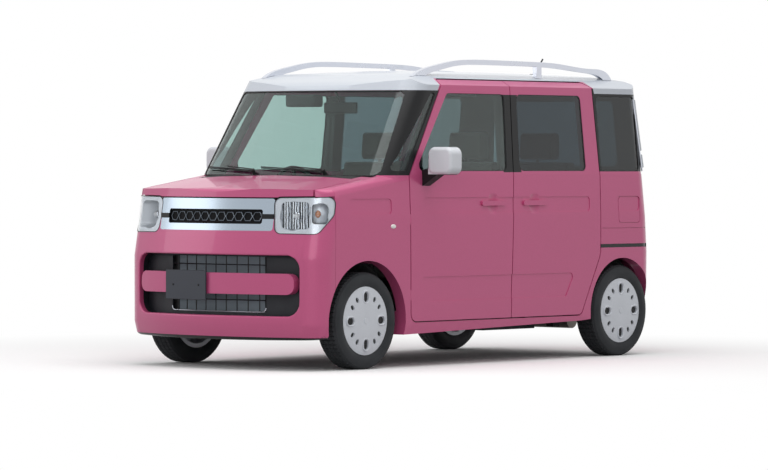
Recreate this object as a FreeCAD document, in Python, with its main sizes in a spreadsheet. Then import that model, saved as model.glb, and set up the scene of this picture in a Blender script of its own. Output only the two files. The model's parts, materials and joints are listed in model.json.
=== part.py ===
"""Kei-class tall wagon: hollow panelled body, hinged panels, steered and rolling wheels.

Millimetres. The car faces -Y, its left side is +X, +Z is up. The origin lies on the ground
at the middle of the length and the width. Every driving size is a cell of the sheet "Sizes".
Places along the body are shares of its length, width and height, in tables named for it.
"""
import FreeCAD, Part
import math
import os
import Sketcher
from functools import lru_cache
from FreeCAD import Placement, Rotation, Vector

SIZES = {
    # overall form
    "body_length": 3395.0, "body_width": 1475.0, "rail_top": 1800.0, "belt_rise": 1107.0,
    "front_overhang": 565.0, "rear_overhang": 370.0, "track_front": 1295.0, "track_rear": 1300.0,
    "lower_wall": 70.0, "upper_wall": 45.0, "roof_wall": 30.0, "sheet_thick": 20.0,
    "shut_gap": 7.0, "overrun": 30.0, "seat_gap": 0.3,
    # doors and glass
    "door_round": 45.0, "window_round": 34.0, "pillar_black": 60.0, "glass_thick": 5.0, "glass_inset": 6.0,
    "hinge_inset": 3.0, "hinge_pin": 2.9, "hinge_barrel": 36.0, "runner": 20.0,
    "bead_depth": 4.0, "bead_round": 26.0, "lid_groove": 3.5, "groove_depth": 7.0, "strip_rise": 22.0,
    "cup_radius": 66.0, "cup_depth": 15.0, "handle_long": 226.0, "handle_high": 30.0, "handle_thick": 12.0,
    # bonnet, grille, lamps and bumper
    "bonnet_thick": 26.0, "grille_depth": 42.0, "grille_round": 16.0, "insert_sunk": 14.0,
    "insert_thick": 22.0, "insert_round": 14.0, "cell_depth": 11.0, "lens_thick": 4.0, "lamp_depth": 120.0,
    "bowl_radius": 84.0, "bowl_root": 44.0, "turn_radius": 46.0, "turn_root": 24.0, "bowl_depth": 86.0,
    "mouth_round": 80.0, "bar_depth": 45.0, "bar_round": 48.0, "mouth_step": 35.0, "mouth_depth": 90.0,
    "grid_bar": 8.0, "bolt_spacing": 210.0, "bolt_radius": 3.0,
    # wheels and running gear
    "tyre_radius": 278.5, "tyre_width": 155.0, "rim_radius": 190.0, "rim_seat": 178.0, "rim_thick": 12.0,
    "cover_radius": 197.0, "disc_thick": 16.0, "hub_radius": 70.0, "spindle_radius": 15.0,
    "slot_reach": 136.0, "slot_long": 58.0, "slot_wide": 40.0, "vent_reach": 142.0, "vent_long": 34.0,
    "vent_wide": 19.0, "arch_front": 345.0, "arch_rear": 325.0, "arch_inner": 396.0,
    "upright_radius": 17.0, "strut_radius": 16.0, "flange_radius": 44.0, "arm_radius": 12.0,
    "trailing_radius": 22.0, "beam_radius": 30.0, "drum_radius": 60.0, "silencer_radius": 55.0,
    "floor_level": 262.0, "floor_thick": 60.0,
    # cabin, mirrors, rails and aerial
    "steering_radius": 178.0, "steering_tube": 14.0, "hub_thick": 36.0, "column_radius": 24.0,
    "spoke_radius": 11.0, "seat_half": 235.0, "cushion_round": 30.0, "headrest_half": 120.0,
    "mirror_thick": 100.0, "mirror_round": 46.0, "mirror_edge": 22.0,
    "rail_section": 30.0, "antenna_radius": 5.0, "antenna_foot": 22.0,
}

doc = FreeCAD.newDocument("kei_wagon")
sheet = doc.addObject("Spreadsheet::Sheet", "Sizes")
for row, (alias, amount) in enumerate(SIZES.items(), start=1):
    sheet.set(f"A{row}", alias)
    sheet.set(f"B{row}", str(amount))
    sheet.setAlias(f"B{row}", alias)
doc.recompute()


def size(alias):
    """The sheet's value for one named size."""
    return float(sheet.get(alias))


LENGTH = size("body_length")
WIDTH = size("body_width")
HEIGHT = size("rail_top")
HALF = WIDTH / 2
FRONT = -LENGTH / 2
REAR = LENGTH / 2
FRONT_AXLE = FRONT + size("front_overhang")
REAR_AXLE = REAR - size("rear_overhang")
TYRE = size("tyre_radius")
OVER = size("overrun")
GAP = size("shut_gap")
SEAT = size("seat_gap")
BELT = size("belt_rise")
WALL = size("lower_wall")

sub_parts = []


def shown(label, made):
    """Count a document object as a sub-part under its own label."""
    made.Label = label
    sub_parts.append(made)
    return made


def keep(label, shape):
    """A sub-part whose shape is worked out with Part's own functions."""
    made = doc.addObject("Part::Feature", label)
    made.Shape = shape
    return shown(label, made)


def helper(name, shape):
    """A construction shape that later document objects use."""
    made = doc.addObject("Part::Feature", name)
    made.Shape = shape
    return made


def opposite(label, source):
    """Sub-part on the right side: the left one mirrored."""
    made = doc.addObject("Part::Mirroring", label)
    made.Source = source
    made.Base = Vector(0, 0, 0)
    made.Normal = Vector(1, 0, 0)
    return shown(label, made)


def combined(kind, name, base, tool):
    """Boolean of two document objects."""
    made = doc.addObject("Part::" + kind, name)
    made.Base = base
    made.Tool = tool
    return made


def fused(name, parts):
    """Union of several document objects."""
    made = doc.addObject("Part::MultiFuse", name)
    made.Shapes = parts
    return made


SPANS = ("Sizes.body_width", "Sizes.body_length", "Sizes.rail_top")


def worked_out(expression):
    """Value of an expression on the sheet's cells."""
    return float(str(sheet.evalExpression(expression)).split()[0])


def along(axis, place):
    """Expression for a coordinate: a share of the overall size on that axis, or one in named sizes."""
    return place if isinstance(place, str) else f"{SPANS[axis]} * ({place})"


def bound_place(made, corner):
    """Bind an object's base point to the sheet."""
    for axis, letter in enumerate("xyz"):
        made.setExpression("Placement.Base." + letter, along(axis, corner[axis]))


def slab(name, low, high):
    """Box between two corners, each coordinate a share or an expression."""
    made = doc.addObject("Part::Box", name)
    for axis, side in enumerate(("Length", "Width", "Height")):
        made.setExpression(side, f"({along(axis, high[axis])}) - ({along(axis, low[axis])})")
    bound_place(made, low)
    return made


def round_bar(name, start, end, radius):
    """Cylinder from one point to another, its radius an expression."""
    made = doc.addObject("Part::Cylinder", name)
    steps = [f"({along(axis, end[axis])}) - ({along(axis, start[axis])})" for axis in range(3)]
    run = Vector(*[worked_out(step) for step in steps])
    made.Placement = Placement(Vector(0, 0, 0), Rotation(Vector(0, 0, 1), run))
    made.setExpression("Height", "sqrt(" + " + ".join(f"({step}) * ({step})" for step in steps) + ")")
    made.setExpression("Radius", radius)
    bound_place(made, start)
    return made


def origin_plane(body, role):
    """One of a body's own origin planes."""
    return next(item for item in body.Origin.OriginFeatures if item.Role == role)


def bound_distance(sketch, kind, element, point, expression):
    """Distance of a sketch point from the origin, bound to the sheet."""
    number = sketch.addConstraint(Sketcher.Constraint(kind, -1, 1, element, point, worked_out(expression)))
    sketch.setExpression(f"Constraints[{number}]", expression)


def corner_sketch(body, name, role, corners):
    """Closed outline of straight lines, every corner bound to the sheet."""
    sketch = body.newObject("Sketcher::SketchObject", name)
    sketch.AttachmentSupport = [(origin_plane(body, role), "")]
    sketch.MapMode = "FlatFace"
    points = [Vector(worked_out(a), worked_out(b), 0) for a, b in corners]
    count = len(points)
    for index, point in enumerate(points):
        sketch.addGeometry(Part.LineSegment(point, points[(index + 1) % count]), False)
    for index in range(count):
        sketch.addConstraint(Sketcher.Constraint("Coincident", index, 2, (index + 1) % count, 1))
    for index, (a, b) in enumerate(corners):
        bound_distance(sketch, "DistanceX", index, 1, a)
        bound_distance(sketch, "DistanceY", index, 1, b)
    return sketch


def slot_sketch(body, name, reach, long, wide, turn, out):
    """Slot with round ends across the wheel's radius, on a plane set out along the axle."""
    sketch = body.newObject("Sketcher::SketchObject", name)
    sketch.AttachmentSupport = [(origin_plane(body, "YZ_Plane"), "")]
    sketch.MapMode = "FlatFace"
    sketch.AttachmentOffset = Placement(Vector(0, 0, 0), Rotation(Vector(0, 0, 1), turn))
    sketch.setExpression("AttachmentOffset.Base.z", out)
    radius = worked_out(f"{wide} / 2")
    top = f"{reach} + {long} / 2 - {wide} / 2"
    bottom = f"{reach} - {long} / 2 + {wide} / 2"
    upper = Vector(0, worked_out(top), 0)
    lower = Vector(0, worked_out(bottom), 0)
    side = Vector(radius, 0, 0)
    axis = Vector(0, 0, 1)
    sketch.addGeometry(Part.ArcOfCircle(Part.Circle(upper, axis, radius), 0, math.pi), False)
    sketch.addGeometry(Part.LineSegment(upper - side, lower - side), False)
    sketch.addGeometry(Part.ArcOfCircle(Part.Circle(lower, axis, radius), math.pi, 2 * math.pi), False)
    sketch.addGeometry(Part.LineSegment(lower + side, upper + side), False)
    for index in range(4):
        sketch.addConstraint(Sketcher.Constraint("Tangent", index, 2, (index + 1) % 4, 1))
    for element, middle in ((0, top), (2, bottom)):
        sketch.addConstraint(Sketcher.Constraint("PointOnObject", element, 3, -2))
        bound_distance(sketch, "DistanceY", element, 3, middle)
    number = sketch.addConstraint(Sketcher.Constraint("Radius", 0, radius))
    sketch.setExpression(f"Constraints[{number}]", f"{wide} / 2")
    return sketch


def spun(body, name, sketch):
    """Revolution of a sketch about its own horizontal axis."""
    made = body.newObject("PartDesign::Revolution", name)
    made.Profile = sketch
    made.ReferenceAxis = (sketch, ["H_Axis"])
    made.Angle = 360
    return made


def rounded_wire(points, radii, place):
    """Closed wire through points, each corner rounded by a tangent arc."""
    corners = [Vector(*place(a, b)) for a, b in points]
    count = len(corners)
    joints = []
    for index, corner in enumerate(corners):
        radius = radii[index] if isinstance(radii, (list, tuple)) else radii
        back = corners[index - 1] - corner
        ahead = corners[(index + 1) % count] - corner
        room = 0.48 * min(back.Length, ahead.Length)
        back.normalize()
        ahead.normalize()
        turn = back.getAngle(ahead)
        if radius <= 0 or turn > math.pi - 0.01:
            joints.append((corner, None, corner))
            continue
        trim = min(radius / math.tan(turn / 2), room)
        radius = trim * math.tan(turn / 2)
        middle = back + ahead
        middle.normalize()
        apex = corner + middle * (radius / math.sin(turn / 2) - radius)
        joints.append((corner + back * trim, apex, corner + ahead * trim))
    edges = []
    for index, (start, apex, end) in enumerate(joints):
        if apex is not None:
            edges.append(Part.Arc(start, apex, end).toShape())
        following = joints[(index + 1) % count][0]
        if (following - end).Length > 1e-6:
            edges.append(Part.LineSegment(end, following).toShape())
    return Part.Wire(edges)


def prism(plane, points, radii, low, high):
    """Solid between two levels along the axis that the outline's plane leaves out."""
    place = {
        "YZ": lambda a, b: (low, a, b),
        "XZ": lambda a, b: (a, low, b),
        "XY": lambda a, b: (a, b, low),
    }[plane]
    depth = high - low
    along = {"YZ": Vector(depth, 0, 0), "XZ": Vector(0, depth, 0), "XY": Vector(0, 0, depth)}[plane]
    return Part.Face(rounded_wire(points, radii, place)).extrude(along)


def block(low, high):
    """Box between two corners."""
    return Part.makeBox(high[0] - low[0], high[1] - low[1], high[2] - low[2], Vector(*low))


def rod(start, end, radius):
    """Round bar from one point to another."""
    start = Vector(*start)
    along = Vector(*end) - start
    return Part.makeCylinder(radius, along.Length, start, along)


def largest(shape):
    """The biggest solid of a cut."""
    return max(shape.Solids, key=lambda part: part.Volume)


def mirrored(shape):
    """The same shape on the other side of the car."""
    return shape.mirror(Vector(0, 0, 0), Vector(1, 0, 0))


def shares_to_points(table, across, up):
    """Outline points from shares of two sizes."""
    return [(a * across, b * up) for a, b in table]


# places of the panels: shares of the length, the width and the height
DOOR_FRONT = -0.2165 * LENGTH
DOOR_FRONT_BELT = -0.2209 * LENGTH
DOOR_FRONT_TOP = -0.1119 * LENGTH
DOOR_SPLIT = 0.0610 * LENGTH
SPLIT_LEAN = 0.0124 * LENGTH
SLIDE_REAR = 0.3231 * LENGTH
SLIDE_REAR_TOP = 0.3140 * LENGTH
SLIDE_FOOT = 0.2666 * LENGTH
DOOR_BOTTOM = 0.1472 * HEIGHT
DOOR_TOP = 0.9306 * HEIGHT
WINDOW_BOTTOM = 0.6317 * HEIGHT
WINDOW_TOP = 0.8861 * HEIGHT
BONNET_REAR = -0.3275 * LENGTH
BONNET_HALF = 0.4420 * WIDTH
BUMPER_SEAM = -0.4197 * LENGTH
GRILLE_HALF = 0.2915 * WIDTH
GRILLE_BOTTOM = 0.4422 * HEIGHT
GRILLE_RISE = 0.1022 * HEIGHT
INSERT_HALF = 0.2420 * WIDTH
INSERT_BOTTOM = 0.4639 * HEIGHT
INSERT_RISE = 0.0461 * HEIGHT
MOUTH_HALF = 0.4149 * WIDTH
MOUTH_BOTTOM = 0.1728 * HEIGHT
MOUTH_RISE = 0.1922 * HEIGHT
BAR_HALF = 0.3953 * WIDTH
BAR_BOTTOM = 0.2411 * HEIGHT
BAR_RISE = 0.0667 * HEIGHT
PLATE_MIDDLE = -0.1071 * WIDTH
PLATE_LEVEL = 0.2672 * HEIGHT
GATE_TOP = 0.4454 * LENGTH
TAIL_LAMP_INNER = 0.4217 * WIDTH
TAIL_LAMP_BOTTOM = 0.6444 * HEIGHT
TAIL_LAMP_TOP = 0.8778 * HEIGHT
REAR_BUMPER_FRONT = 0.4748 * LENGTH
REAR_BUMPER_TOP = 0.4372 * HEIGHT
HANDLE_SKIN = 0.4982 * WIDTH
HANDLE_LEVEL = 0.5261 * HEIGHT
FRONT_HANDLE = 0.0100 * LENGTH
SLIDE_HANDLE = 0.1287 * LENGTH


# plan sections of the lower body: shares of height, width, length for level, half width, nose, tail
LOWER_SECTION_SHARES = (
    (0.083, 0.4915, -0.4919, 0.4934),
    (0.144, 0.4983, -0.5000, 0.5000),
    (0.356, 0.5000, -0.5000, 0.5000),
    (0.478, 0.5000, -0.4875, 0.4948),
    (0.622, 0.4946, -0.4785, 0.4862),
)
UPPER_SECTION_SHARES = (
    (0.570, 0.4940, -0.3380, 0.4866),
    (0.622, 0.4940, -0.3199, 0.4856),
    (0.978, 0.4583, -0.1959, 0.4742),
)
NOSE_BOW_SHARE = 0.58
TAIL_BOW_SHARE = 1.8
NOSE_CORNER_SHARE = 0.047
TAIL_CORNER_SHARE = 0.0395


def plan_wire(level, half, nose, tail, inset):
    """Plan outline of the body: bowed nose and tail, round corners, straight flanks."""
    half = half - inset
    nose = nose + inset
    tail = tail - inset
    nose_bow = NOSE_BOW_SHARE * LENGTH - inset
    tail_bow = TAIL_BOW_SHARE * LENGTH - inset
    nose_corner = NOSE_CORNER_SHARE * LENGTH - inset
    tail_corner = TAIL_CORNER_SHARE * LENGTH - inset

    def quarter(edge, bow, corner, sign):
        """Bow end, corner apex and flank start of one corner."""
        middle_x = half - corner
        centre = edge - sign * bow
        middle_y = centre + sign * math.sqrt((bow - corner) ** 2 - middle_x ** 2)
        stretch = bow / (bow - corner)
        bow_end = Vector(middle_x * stretch, centre + (middle_y - centre) * stretch, level)
        turn = math.atan2(bow_end.y - middle_y, bow_end.x - middle_x) / 2
        apex = Vector(middle_x + corner * math.cos(turn), middle_y + corner * math.sin(turn), level)
        return bow_end, apex, Vector(half, middle_y, level)

    def other(point):
        """The point mirrored to the other flank."""
        return Vector(-point.x, point.y, point.z)

    nose_end, nose_apex, flank_front = quarter(nose, nose_bow, nose_corner, -1)
    tail_end, tail_apex, flank_rear = quarter(tail, tail_bow, tail_corner, 1)
    edges = [
        Part.Arc(other(nose_end), Vector(0, nose, level), nose_end),
        Part.Arc(nose_end, nose_apex, flank_front),
        Part.LineSegment(flank_front, flank_rear),
        Part.Arc(flank_rear, tail_apex, tail_end),
        Part.Arc(tail_end, Vector(0, tail, level), other(tail_end)),
        Part.Arc(other(tail_end), other(tail_apex), other(flank_rear)),
        Part.LineSegment(other(flank_rear), other(flank_front)),
        Part.Arc(other(flank_front), other(nose_apex), other(nose_end)),
    ]
    return Part.Wire([edge.toShape() for edge in edges])


@lru_cache(maxsize=None)
def tower(section_shares, inset):
    """Ruled loft through plan outlines."""
    wires = [
        plan_wire(level * HEIGHT, half * WIDTH, nose * LENGTH, tail * LENGTH, inset)
        for level, half, nose, tail in section_shares
    ]
    return Part.makeLoft(wires, True, True)


NOSE_LINE_SHARES = (
    (-0.515, 0.30), (-0.500, 0.445), (-0.483, 0.568), (-0.462, 0.588), (-0.330, 0.640), (-0.200, 0.640),
    (-0.200, 0.05), (-0.515, 0.05),
)
NOSE_LINE_ROUND_SHARES = (0.0, 0.09, 0.018, 0.024, 0.0, 0.0, 0.0, 0.0)
CROWN_SHARES = (
    (-0.530, -0.40), (-0.530, 0.540), (-0.500, 0.565), (-0.490, 0.592), (-0.468, 0.6035), (-0.271, 0.6125),
    (0.0, 0.617), (0.271, 0.6125), (0.468, 0.6035), (0.490, 0.592), (0.500, 0.565), (0.530, 0.540),
    (0.530, -0.40),
)
CROWN_ROUND_SHARES = (0.0, 0.0, 0.02, 0.02, 0.05, 0.6, 1.7, 0.6, 0.05, 0.02, 0.02, 0.0, 0.0)
BONNET_FALL_SHARE = 0.14
COWL_SHARE = -0.2221


def lowered(points, drop):
    """Outline points moved down by a wall."""
    return [(a, b - drop) for a, b in points]


@lru_cache(maxsize=None)
def nose_limit(drop):
    """Space under the nose's side line and the sloping crown of bonnet and fenders."""
    profile = lowered(shares_to_points(NOSE_LINE_SHARES, LENGTH, HEIGHT), drop)
    rounds = [share * LENGTH for share in NOSE_LINE_ROUND_SHARES]
    side = prism("YZ", profile, rounds, -WIDTH, WIDTH)
    section = lowered(shares_to_points(CROWN_SHARES, WIDTH, HEIGHT), drop)
    bends = [share * WIDTH for share in CROWN_ROUND_SHARES]
    cowl = COWL_SHARE * LENGTH
    rise = (BONNET_REAR - cowl) * -BONNET_FALL_SHARE
    face = Part.Face(rounded_wire(section, bends, lambda a, b: (a, cowl, b + rise)))
    crown = face.extrude(Vector(0, -LENGTH, -LENGTH * BONNET_FALL_SHARE))
    return side.common(crown)


@lru_cache(maxsize=None)
def lower_form(inset, drop):
    """Lower body: plan tower, its nose under the bonnet line and the crown."""
    whole = tower(LOWER_SECTION_SHARES, inset)
    cowl = COWL_SHARE * LENGTH
    nose = whole.common(nose_limit(drop))
    cabin_part = whole.common(block((-WIDTH, cowl, 0), (WIDTH, REAR + OVER, HEIGHT)))
    return nose.fuse(cabin_part)


ROOF_LINE_SHARES = (
    (-0.412, 0.50), (-0.412, 0.555), (-0.254, 0.8667), (-0.206, 0.9195), (-0.1325, 0.951), (0.0, 0.9667),
    (0.177, 0.9678), (0.3535, 0.9567), (0.455, 0.9378), (0.500, 0.84), (0.500, 0.50),
)
ROOF_LINE_ROUND_SHARES = (0.0, 0.0, 0.03, 0.09, 0.26, 0.9, 0.9, 0.45, 0.026, 0.0, 0.0)
ROOF_SECTION_SHARES = (
    (-0.515, 0.50), (-0.515, 0.889), (-0.468, 0.911), (-0.380, 0.951), (0.0, 0.971),
    (0.380, 0.951), (0.468, 0.911), (0.515, 0.889), (0.515, 0.50),
)
ROOF_SECTION_ROUND_SHARES = (0.0, 0.0, 0.08, 0.135, 2.7, 0.135, 0.08, 0.0, 0.0)


@lru_cache(maxsize=None)
def upper_form(inset, drop):
    """Greenhouse: plan tower under the roof's side line and cross-section."""
    line = lowered(shares_to_points(ROOF_LINE_SHARES, LENGTH, HEIGHT), drop)
    rounds = [share * LENGTH for share in ROOF_LINE_ROUND_SHARES]
    section = lowered(shares_to_points(ROOF_SECTION_SHARES, WIDTH, HEIGHT), drop)
    bends = [share * WIDTH for share in ROOF_SECTION_ROUND_SHARES]
    side = prism("YZ", line, rounds, -WIDTH, WIDTH)
    across = prism("XZ", section, bends, FRONT, REAR + OVER)
    return tower(UPPER_SECTION_SHARES, inset).common(side.common(across))


def wheel_axis(front, side):
    """Wheel centre of one corner."""
    track = size("track_front") if front else size("track_rear")
    return Vector(side * track / 2, FRONT_AXLE if front else REAR_AXLE, TYRE)


def arch(front, radius):
    """Wheel arch cut on the left side."""
    centre = wheel_axis(front, 1)
    inner = size("arch_inner")
    return Part.makeCylinder(radius, HALF + OVER - inner, Vector(inner, centre.y, centre.z), Vector(1, 0, 0))


# the outer form, the cabin void and the wall between them
outer = lower_form(0, 0).fuse(upper_form(0, 0))
CABIN_FRONT = -0.3004 * LENGTH
CABIN_REAR = 0.4705 * LENGTH
FLOOR = size("floor_level") + size("floor_thick")
cabin_low = tower(LOWER_SECTION_SHARES, WALL).common(
    block((-WIDTH, CABIN_FRONT, FLOOR), (WIDTH, CABIN_REAR, BELT + OVER))
)
cabin_high = upper_form(size("upper_wall"), size("roof_wall"))
cabin = cabin_low.fuse(cabin_high)
nose_void = tower(LOWER_SECTION_SHARES, WALL / 2).common(
    lower_form(0, size("bonnet_thick"))
).common(block((-WIDTH, FRONT, 0), (WIDTH, CABIN_FRONT - OVER, HEIGHT)))
arches = [arch(True, size("arch_front")), arch(False, size("arch_rear"))]
arches = arches + [mirrored(shape) for shape in arches]
wall = outer.cut([cabin, nose_void] + arches)

BOTTOM_LINE_SHARES = (
    (-0.515, 0.0917), (-0.4206, 0.1017), (-0.2592, 0.1044), (0.2713, 0.1267), (0.4754, 0.1550), (0.515, 0.1667),
    (0.515, 0.0), (-0.515, 0.0),
)
DOOR_BAND_SHARES = ((-0.1844, 0.4950), (-0.1844, 0.5461), (0.2916, 0.5461), (0.2916, 0.4950))
QUARTER_BAND_SHARES = ((0.3741, 0.4950), (0.3741, 0.5461), (0.4418, 0.5461), (0.4418, 0.4950))
FENDER_BAND_SHARES = ((-0.3823, 0.4944), (-0.3823, 0.5439), (-0.2710, 0.5439), (-0.2710, 0.4944))
LOWER_BEAD_SHARES = ((-0.1944, 0.2894), (-0.1679, 0.2094), (0.2209, 0.2094), (0.2474, 0.2894))
LID_SHARES = ((0.3788, 0.4539), (0.3788, 0.5450), (0.4439, 0.5450), (0.4439, 0.4539))
FLANK_IN = 0.40 * WIDTH


def pressing(table, radius, depth):
    """Space of a shallow pressing in the left flank, down to a depth under the skin."""
    region = prism("YZ", shares_to_points(table, LENGTH, HEIGHT), radius, FLANK_IN, HALF + OVER)
    return region.cut(tower(LOWER_SECTION_SHARES, depth))


def handle_cup(middle):
    """Ball whose cap is the hollow behind a door handle."""
    rim = size("cup_radius")
    depth = size("cup_depth")
    ball = (rim * rim + depth * depth) / (2 * depth)
    return Part.makeSphere(ball, Vector(HANDLE_SKIN + ball - depth, middle, HANDLE_LEVEL))


def handle_bar(middle):
    """Pull bar with round ends across a handle's hollow."""
    far = size("handle_long") / 2
    half = size("handle_high") / 2
    thick = size("handle_thick")
    corners = [
        (middle - far, HANDLE_LEVEL - half), (middle + far, HANDLE_LEVEL - half),
        (middle + far, HANDLE_LEVEL + half), (middle - far, HANDLE_LEVEL + half),
    ]
    return prism("YZ", corners, 0.9 * half, HANDLE_SKIN - 0.8 * thick, HANDLE_SKIN + 0.6 * thick)


BEAD_DEPTH = size("bead_depth")
BEAD_ROUND = size("bead_round")
pressings = [
    pressing(DOOR_BAND_SHARES, BEAD_ROUND, BEAD_DEPTH), pressing(QUARTER_BAND_SHARES, BEAD_ROUND, BEAD_DEPTH),
    pressing(FENDER_BAND_SHARES, BEAD_ROUND, BEAD_DEPTH), pressing(LOWER_BEAD_SHARES, BEAD_ROUND, BEAD_DEPTH),
    handle_cup(FRONT_HANDLE), handle_cup(SLIDE_HANDLE),
]
wall = wall.cut(prism("YZ", shares_to_points(BOTTOM_LINE_SHARES, LENGTH, HEIGHT), 0, -WIDTH, WIDTH))
wall = wall.cut(pressings + [mirrored(shape) for shape in pressings])

DOOR_OUTLINE = [
    (DOOR_FRONT, DOOR_BOTTOM),
    (DOOR_FRONT_BELT, BELT),
    (DOOR_FRONT_TOP, DOOR_TOP),
    (DOOR_SPLIT + SPLIT_LEAN, DOOR_TOP),
    (DOOR_SPLIT, DOOR_BOTTOM),
]
SLIDE_OUTLINE = [
    (DOOR_SPLIT + GAP, DOOR_BOTTOM),
    (DOOR_SPLIT + SPLIT_LEAN + GAP, DOOR_TOP),
    (SLIDE_REAR_TOP, DOOR_TOP),
    (SLIDE_REAR, BELT),
    (SLIDE_REAR, 0.35 * HEIGHT),
    (SLIDE_FOOT, DOOR_BOTTOM),
]
DOOR_ROUND = size("door_round")
DOOR_RADII = [DOOR_ROUND, 0, DOOR_ROUND, 0, 0]
SLIDE_RADII = [0, 0, DOOR_ROUND, 0, 3 * DOOR_ROUND, DOOR_ROUND]
SHARP_JOIN = 2


def grown(points, radii, offset, low, high):
    """Side outline prism, its outline moved outwards by an offset."""
    wire = rounded_wire(points, radii, lambda a, b: (low, a, b))
    if offset:
        wire = wire.makeOffset2D(offset, SHARP_JOIN)
    return Part.Face(wire).extrude(Vector(high - low, 0, 0))


SIDE_IN = 0.39 * WIDTH
DOOR_INNER = HALF - WALL


def door_prism(points, radii, offset):
    """Door outline run inwards to the door's inner face, further in above the belt."""
    sill = block((0, FRONT, 0), (DOOR_INNER - offset, REAR, BELT - OVER))
    return grown(points, radii, offset, SIDE_IN, HALF + OVER).cut(sill)


front_door_blank = door_prism(DOOR_OUTLINE, DOOR_RADII, 0)
front_door_hole = door_prism(DOOR_OUTLINE, DOOR_RADII, GAP)
slide_blank = door_prism(SLIDE_OUTLINE, SLIDE_RADII, 0)
slide_hole = door_prism(SLIDE_OUTLINE, SLIDE_RADII, GAP)

BAND = size("pillar_black")
LEAN = SPLIT_LEAN * (WINDOW_TOP - WINDOW_BOTTOM) / (
    DOOR_TOP - DOOR_BOTTOM)
split_belt = DOOR_SPLIT + SPLIT_LEAN - LEAN
DOOR_WINDOW = [
    (DOOR_FRONT_BELT + BAND, WINDOW_BOTTOM),
    (DOOR_FRONT_TOP + 0.4 * BAND, WINDOW_TOP),
    (split_belt + LEAN - BAND, WINDOW_TOP),
    (split_belt - BAND, WINDOW_BOTTOM),
]
SLIDE_WINDOW = [
    (split_belt + GAP + BAND, WINDOW_BOTTOM),
    (split_belt + GAP + BAND + LEAN / 2, WINDOW_TOP),
    (SLIDE_REAR_TOP - 2 * BAND, WINDOW_TOP),
    (SLIDE_REAR - 2 * BAND - LEAN, WINDOW_BOTTOM),
]
FRONT_QUARTER = [
    (-0.2690 * LENGTH, WINDOW_BOTTOM),
    (-0.1480 * LENGTH, WINDOW_TOP),
    (-0.1360 * LENGTH, WINDOW_TOP),
    (DOOR_FRONT_BELT - BAND / 2, WINDOW_BOTTOM),
]
REAR_QUARTER = [
    (0.3290 * LENGTH, WINDOW_BOTTOM),
    (0.3255 * LENGTH, WINDOW_TOP),
    (0.4445 * LENGTH, WINDOW_TOP),
    (0.4455 * LENGTH, WINDOW_BOTTOM),
]
WINDOW_ROUND = size("window_round")


def window(points, radii, inset):
    """Window opening prism on the left side, its outline shrunk by an inset."""
    wire = rounded_wire(points, radii, lambda a, b: (SIDE_IN, a, b))
    if inset:
        wire = wire.makeOffset2D(-inset)
    return Part.Face(wire).extrude(Vector(HALF + OVER - SIDE_IN, 0, 0))


GLASS_OUT = size("glass_inset")
GLASS_IN = GLASS_OUT + size("glass_thick")
glass_skin = upper_form(GLASS_OUT, GLASS_OUT).cut(upper_form(GLASS_IN, GLASS_IN))


def pane(points, radii):
    """Glass that fills a side window, set in from the outer skin."""
    return glass_skin.common(window(points, radii, SEAT))


front_door = wall.common(front_door_blank).cut(window(DOOR_WINDOW, WINDOW_ROUND, 0))
slide_door = wall.common(slide_blank).cut(window(SLIDE_WINDOW, WINDOW_ROUND, 0))
HINGE_X = HALF - size("hinge_inset")
HINGE_LEAN = (DOOR_FRONT_BELT - DOOR_FRONT) / (BELT - DOOR_BOTTOM)
PIN = size("hinge_pin")
BARREL = size("hinge_barrel")


def hinge_point(level):
    """Point of the left door's hinge axis, which follows the door's leaning front edge."""
    return Vector(HINGE_X, DOOR_FRONT - GAP / 2 + HINGE_LEAN * (level - DOOR_BOTTOM), level)


def hinge_eye(low, high, reach):
    """Round hinge eye on the axis with its web forward to the fender or back to the door."""
    middle = hinge_point((low + high) / 2).y
    near, far = sorted((middle, middle + reach))
    web = block((HINGE_X - 0.8 * PIN, near, low), (HINGE_X + 0.8 * PIN, far, high))
    return rod(hinge_point(low), hinge_point(high), PIN).fuse(web)


door_eyes = []
fender_eyes = []
for level in (0.2222 * HEIGHT, 0.4667 * HEIGHT):
    door_eyes.append(hinge_eye(level, level + BARREL, GAP))
    fender_eyes.append(hinge_eye(level - BARREL / 3 - SEAT, level - SEAT, -GAP))
    fender_eyes.append(hinge_eye(level + BARREL + SEAT, level + 4 * BARREL / 3 + SEAT, -GAP))
runner = size("runner")
runners = [
    block((DOOR_INNER + SEAT, SLIDE_REAR - runner, 0.52 * HEIGHT),
          (DOOR_INNER + runner, SLIDE_REAR + GAP - SEAT, 0.54 * HEIGHT)),
    block((DOOR_INNER + SEAT, 0.12 * LENGTH, DOOR_BOTTOM - GAP + SEAT),
          (DOOR_INNER + runner, 0.12 * LENGTH + 2 * runner, DOOR_BOTTOM + runner)),
]
front_door = front_door.fuse(door_eyes + [handle_bar(FRONT_HANDLE)])
slide_door = slide_door.fuse(runners + [handle_bar(SLIDE_HANDLE)])
keep("front_door_left", front_door)
keep("front_door_right", mirrored(front_door))
keep("sliding_door_left", slide_door)
keep("sliding_door_right", mirrored(slide_door))
door_glass = pane(DOOR_WINDOW, WINDOW_ROUND)
keep("front_door_glass_left", door_glass)
keep("front_door_glass_right", mirrored(door_glass))
slide_glass = pane(SLIDE_WINDOW, WINDOW_ROUND)
keep("sliding_door_glass", Part.makeCompound([slide_glass, mirrored(slide_glass)]))
front_quarter = pane(FRONT_QUARTER, WINDOW_ROUND / 2)
rear_quarter = pane(REAR_QUARTER, WINDOW_ROUND)
keep("quarter_glass", Part.makeCompound([
    front_quarter, mirrored(front_quarter), rear_quarter, mirrored(rear_quarter)]))


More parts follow.
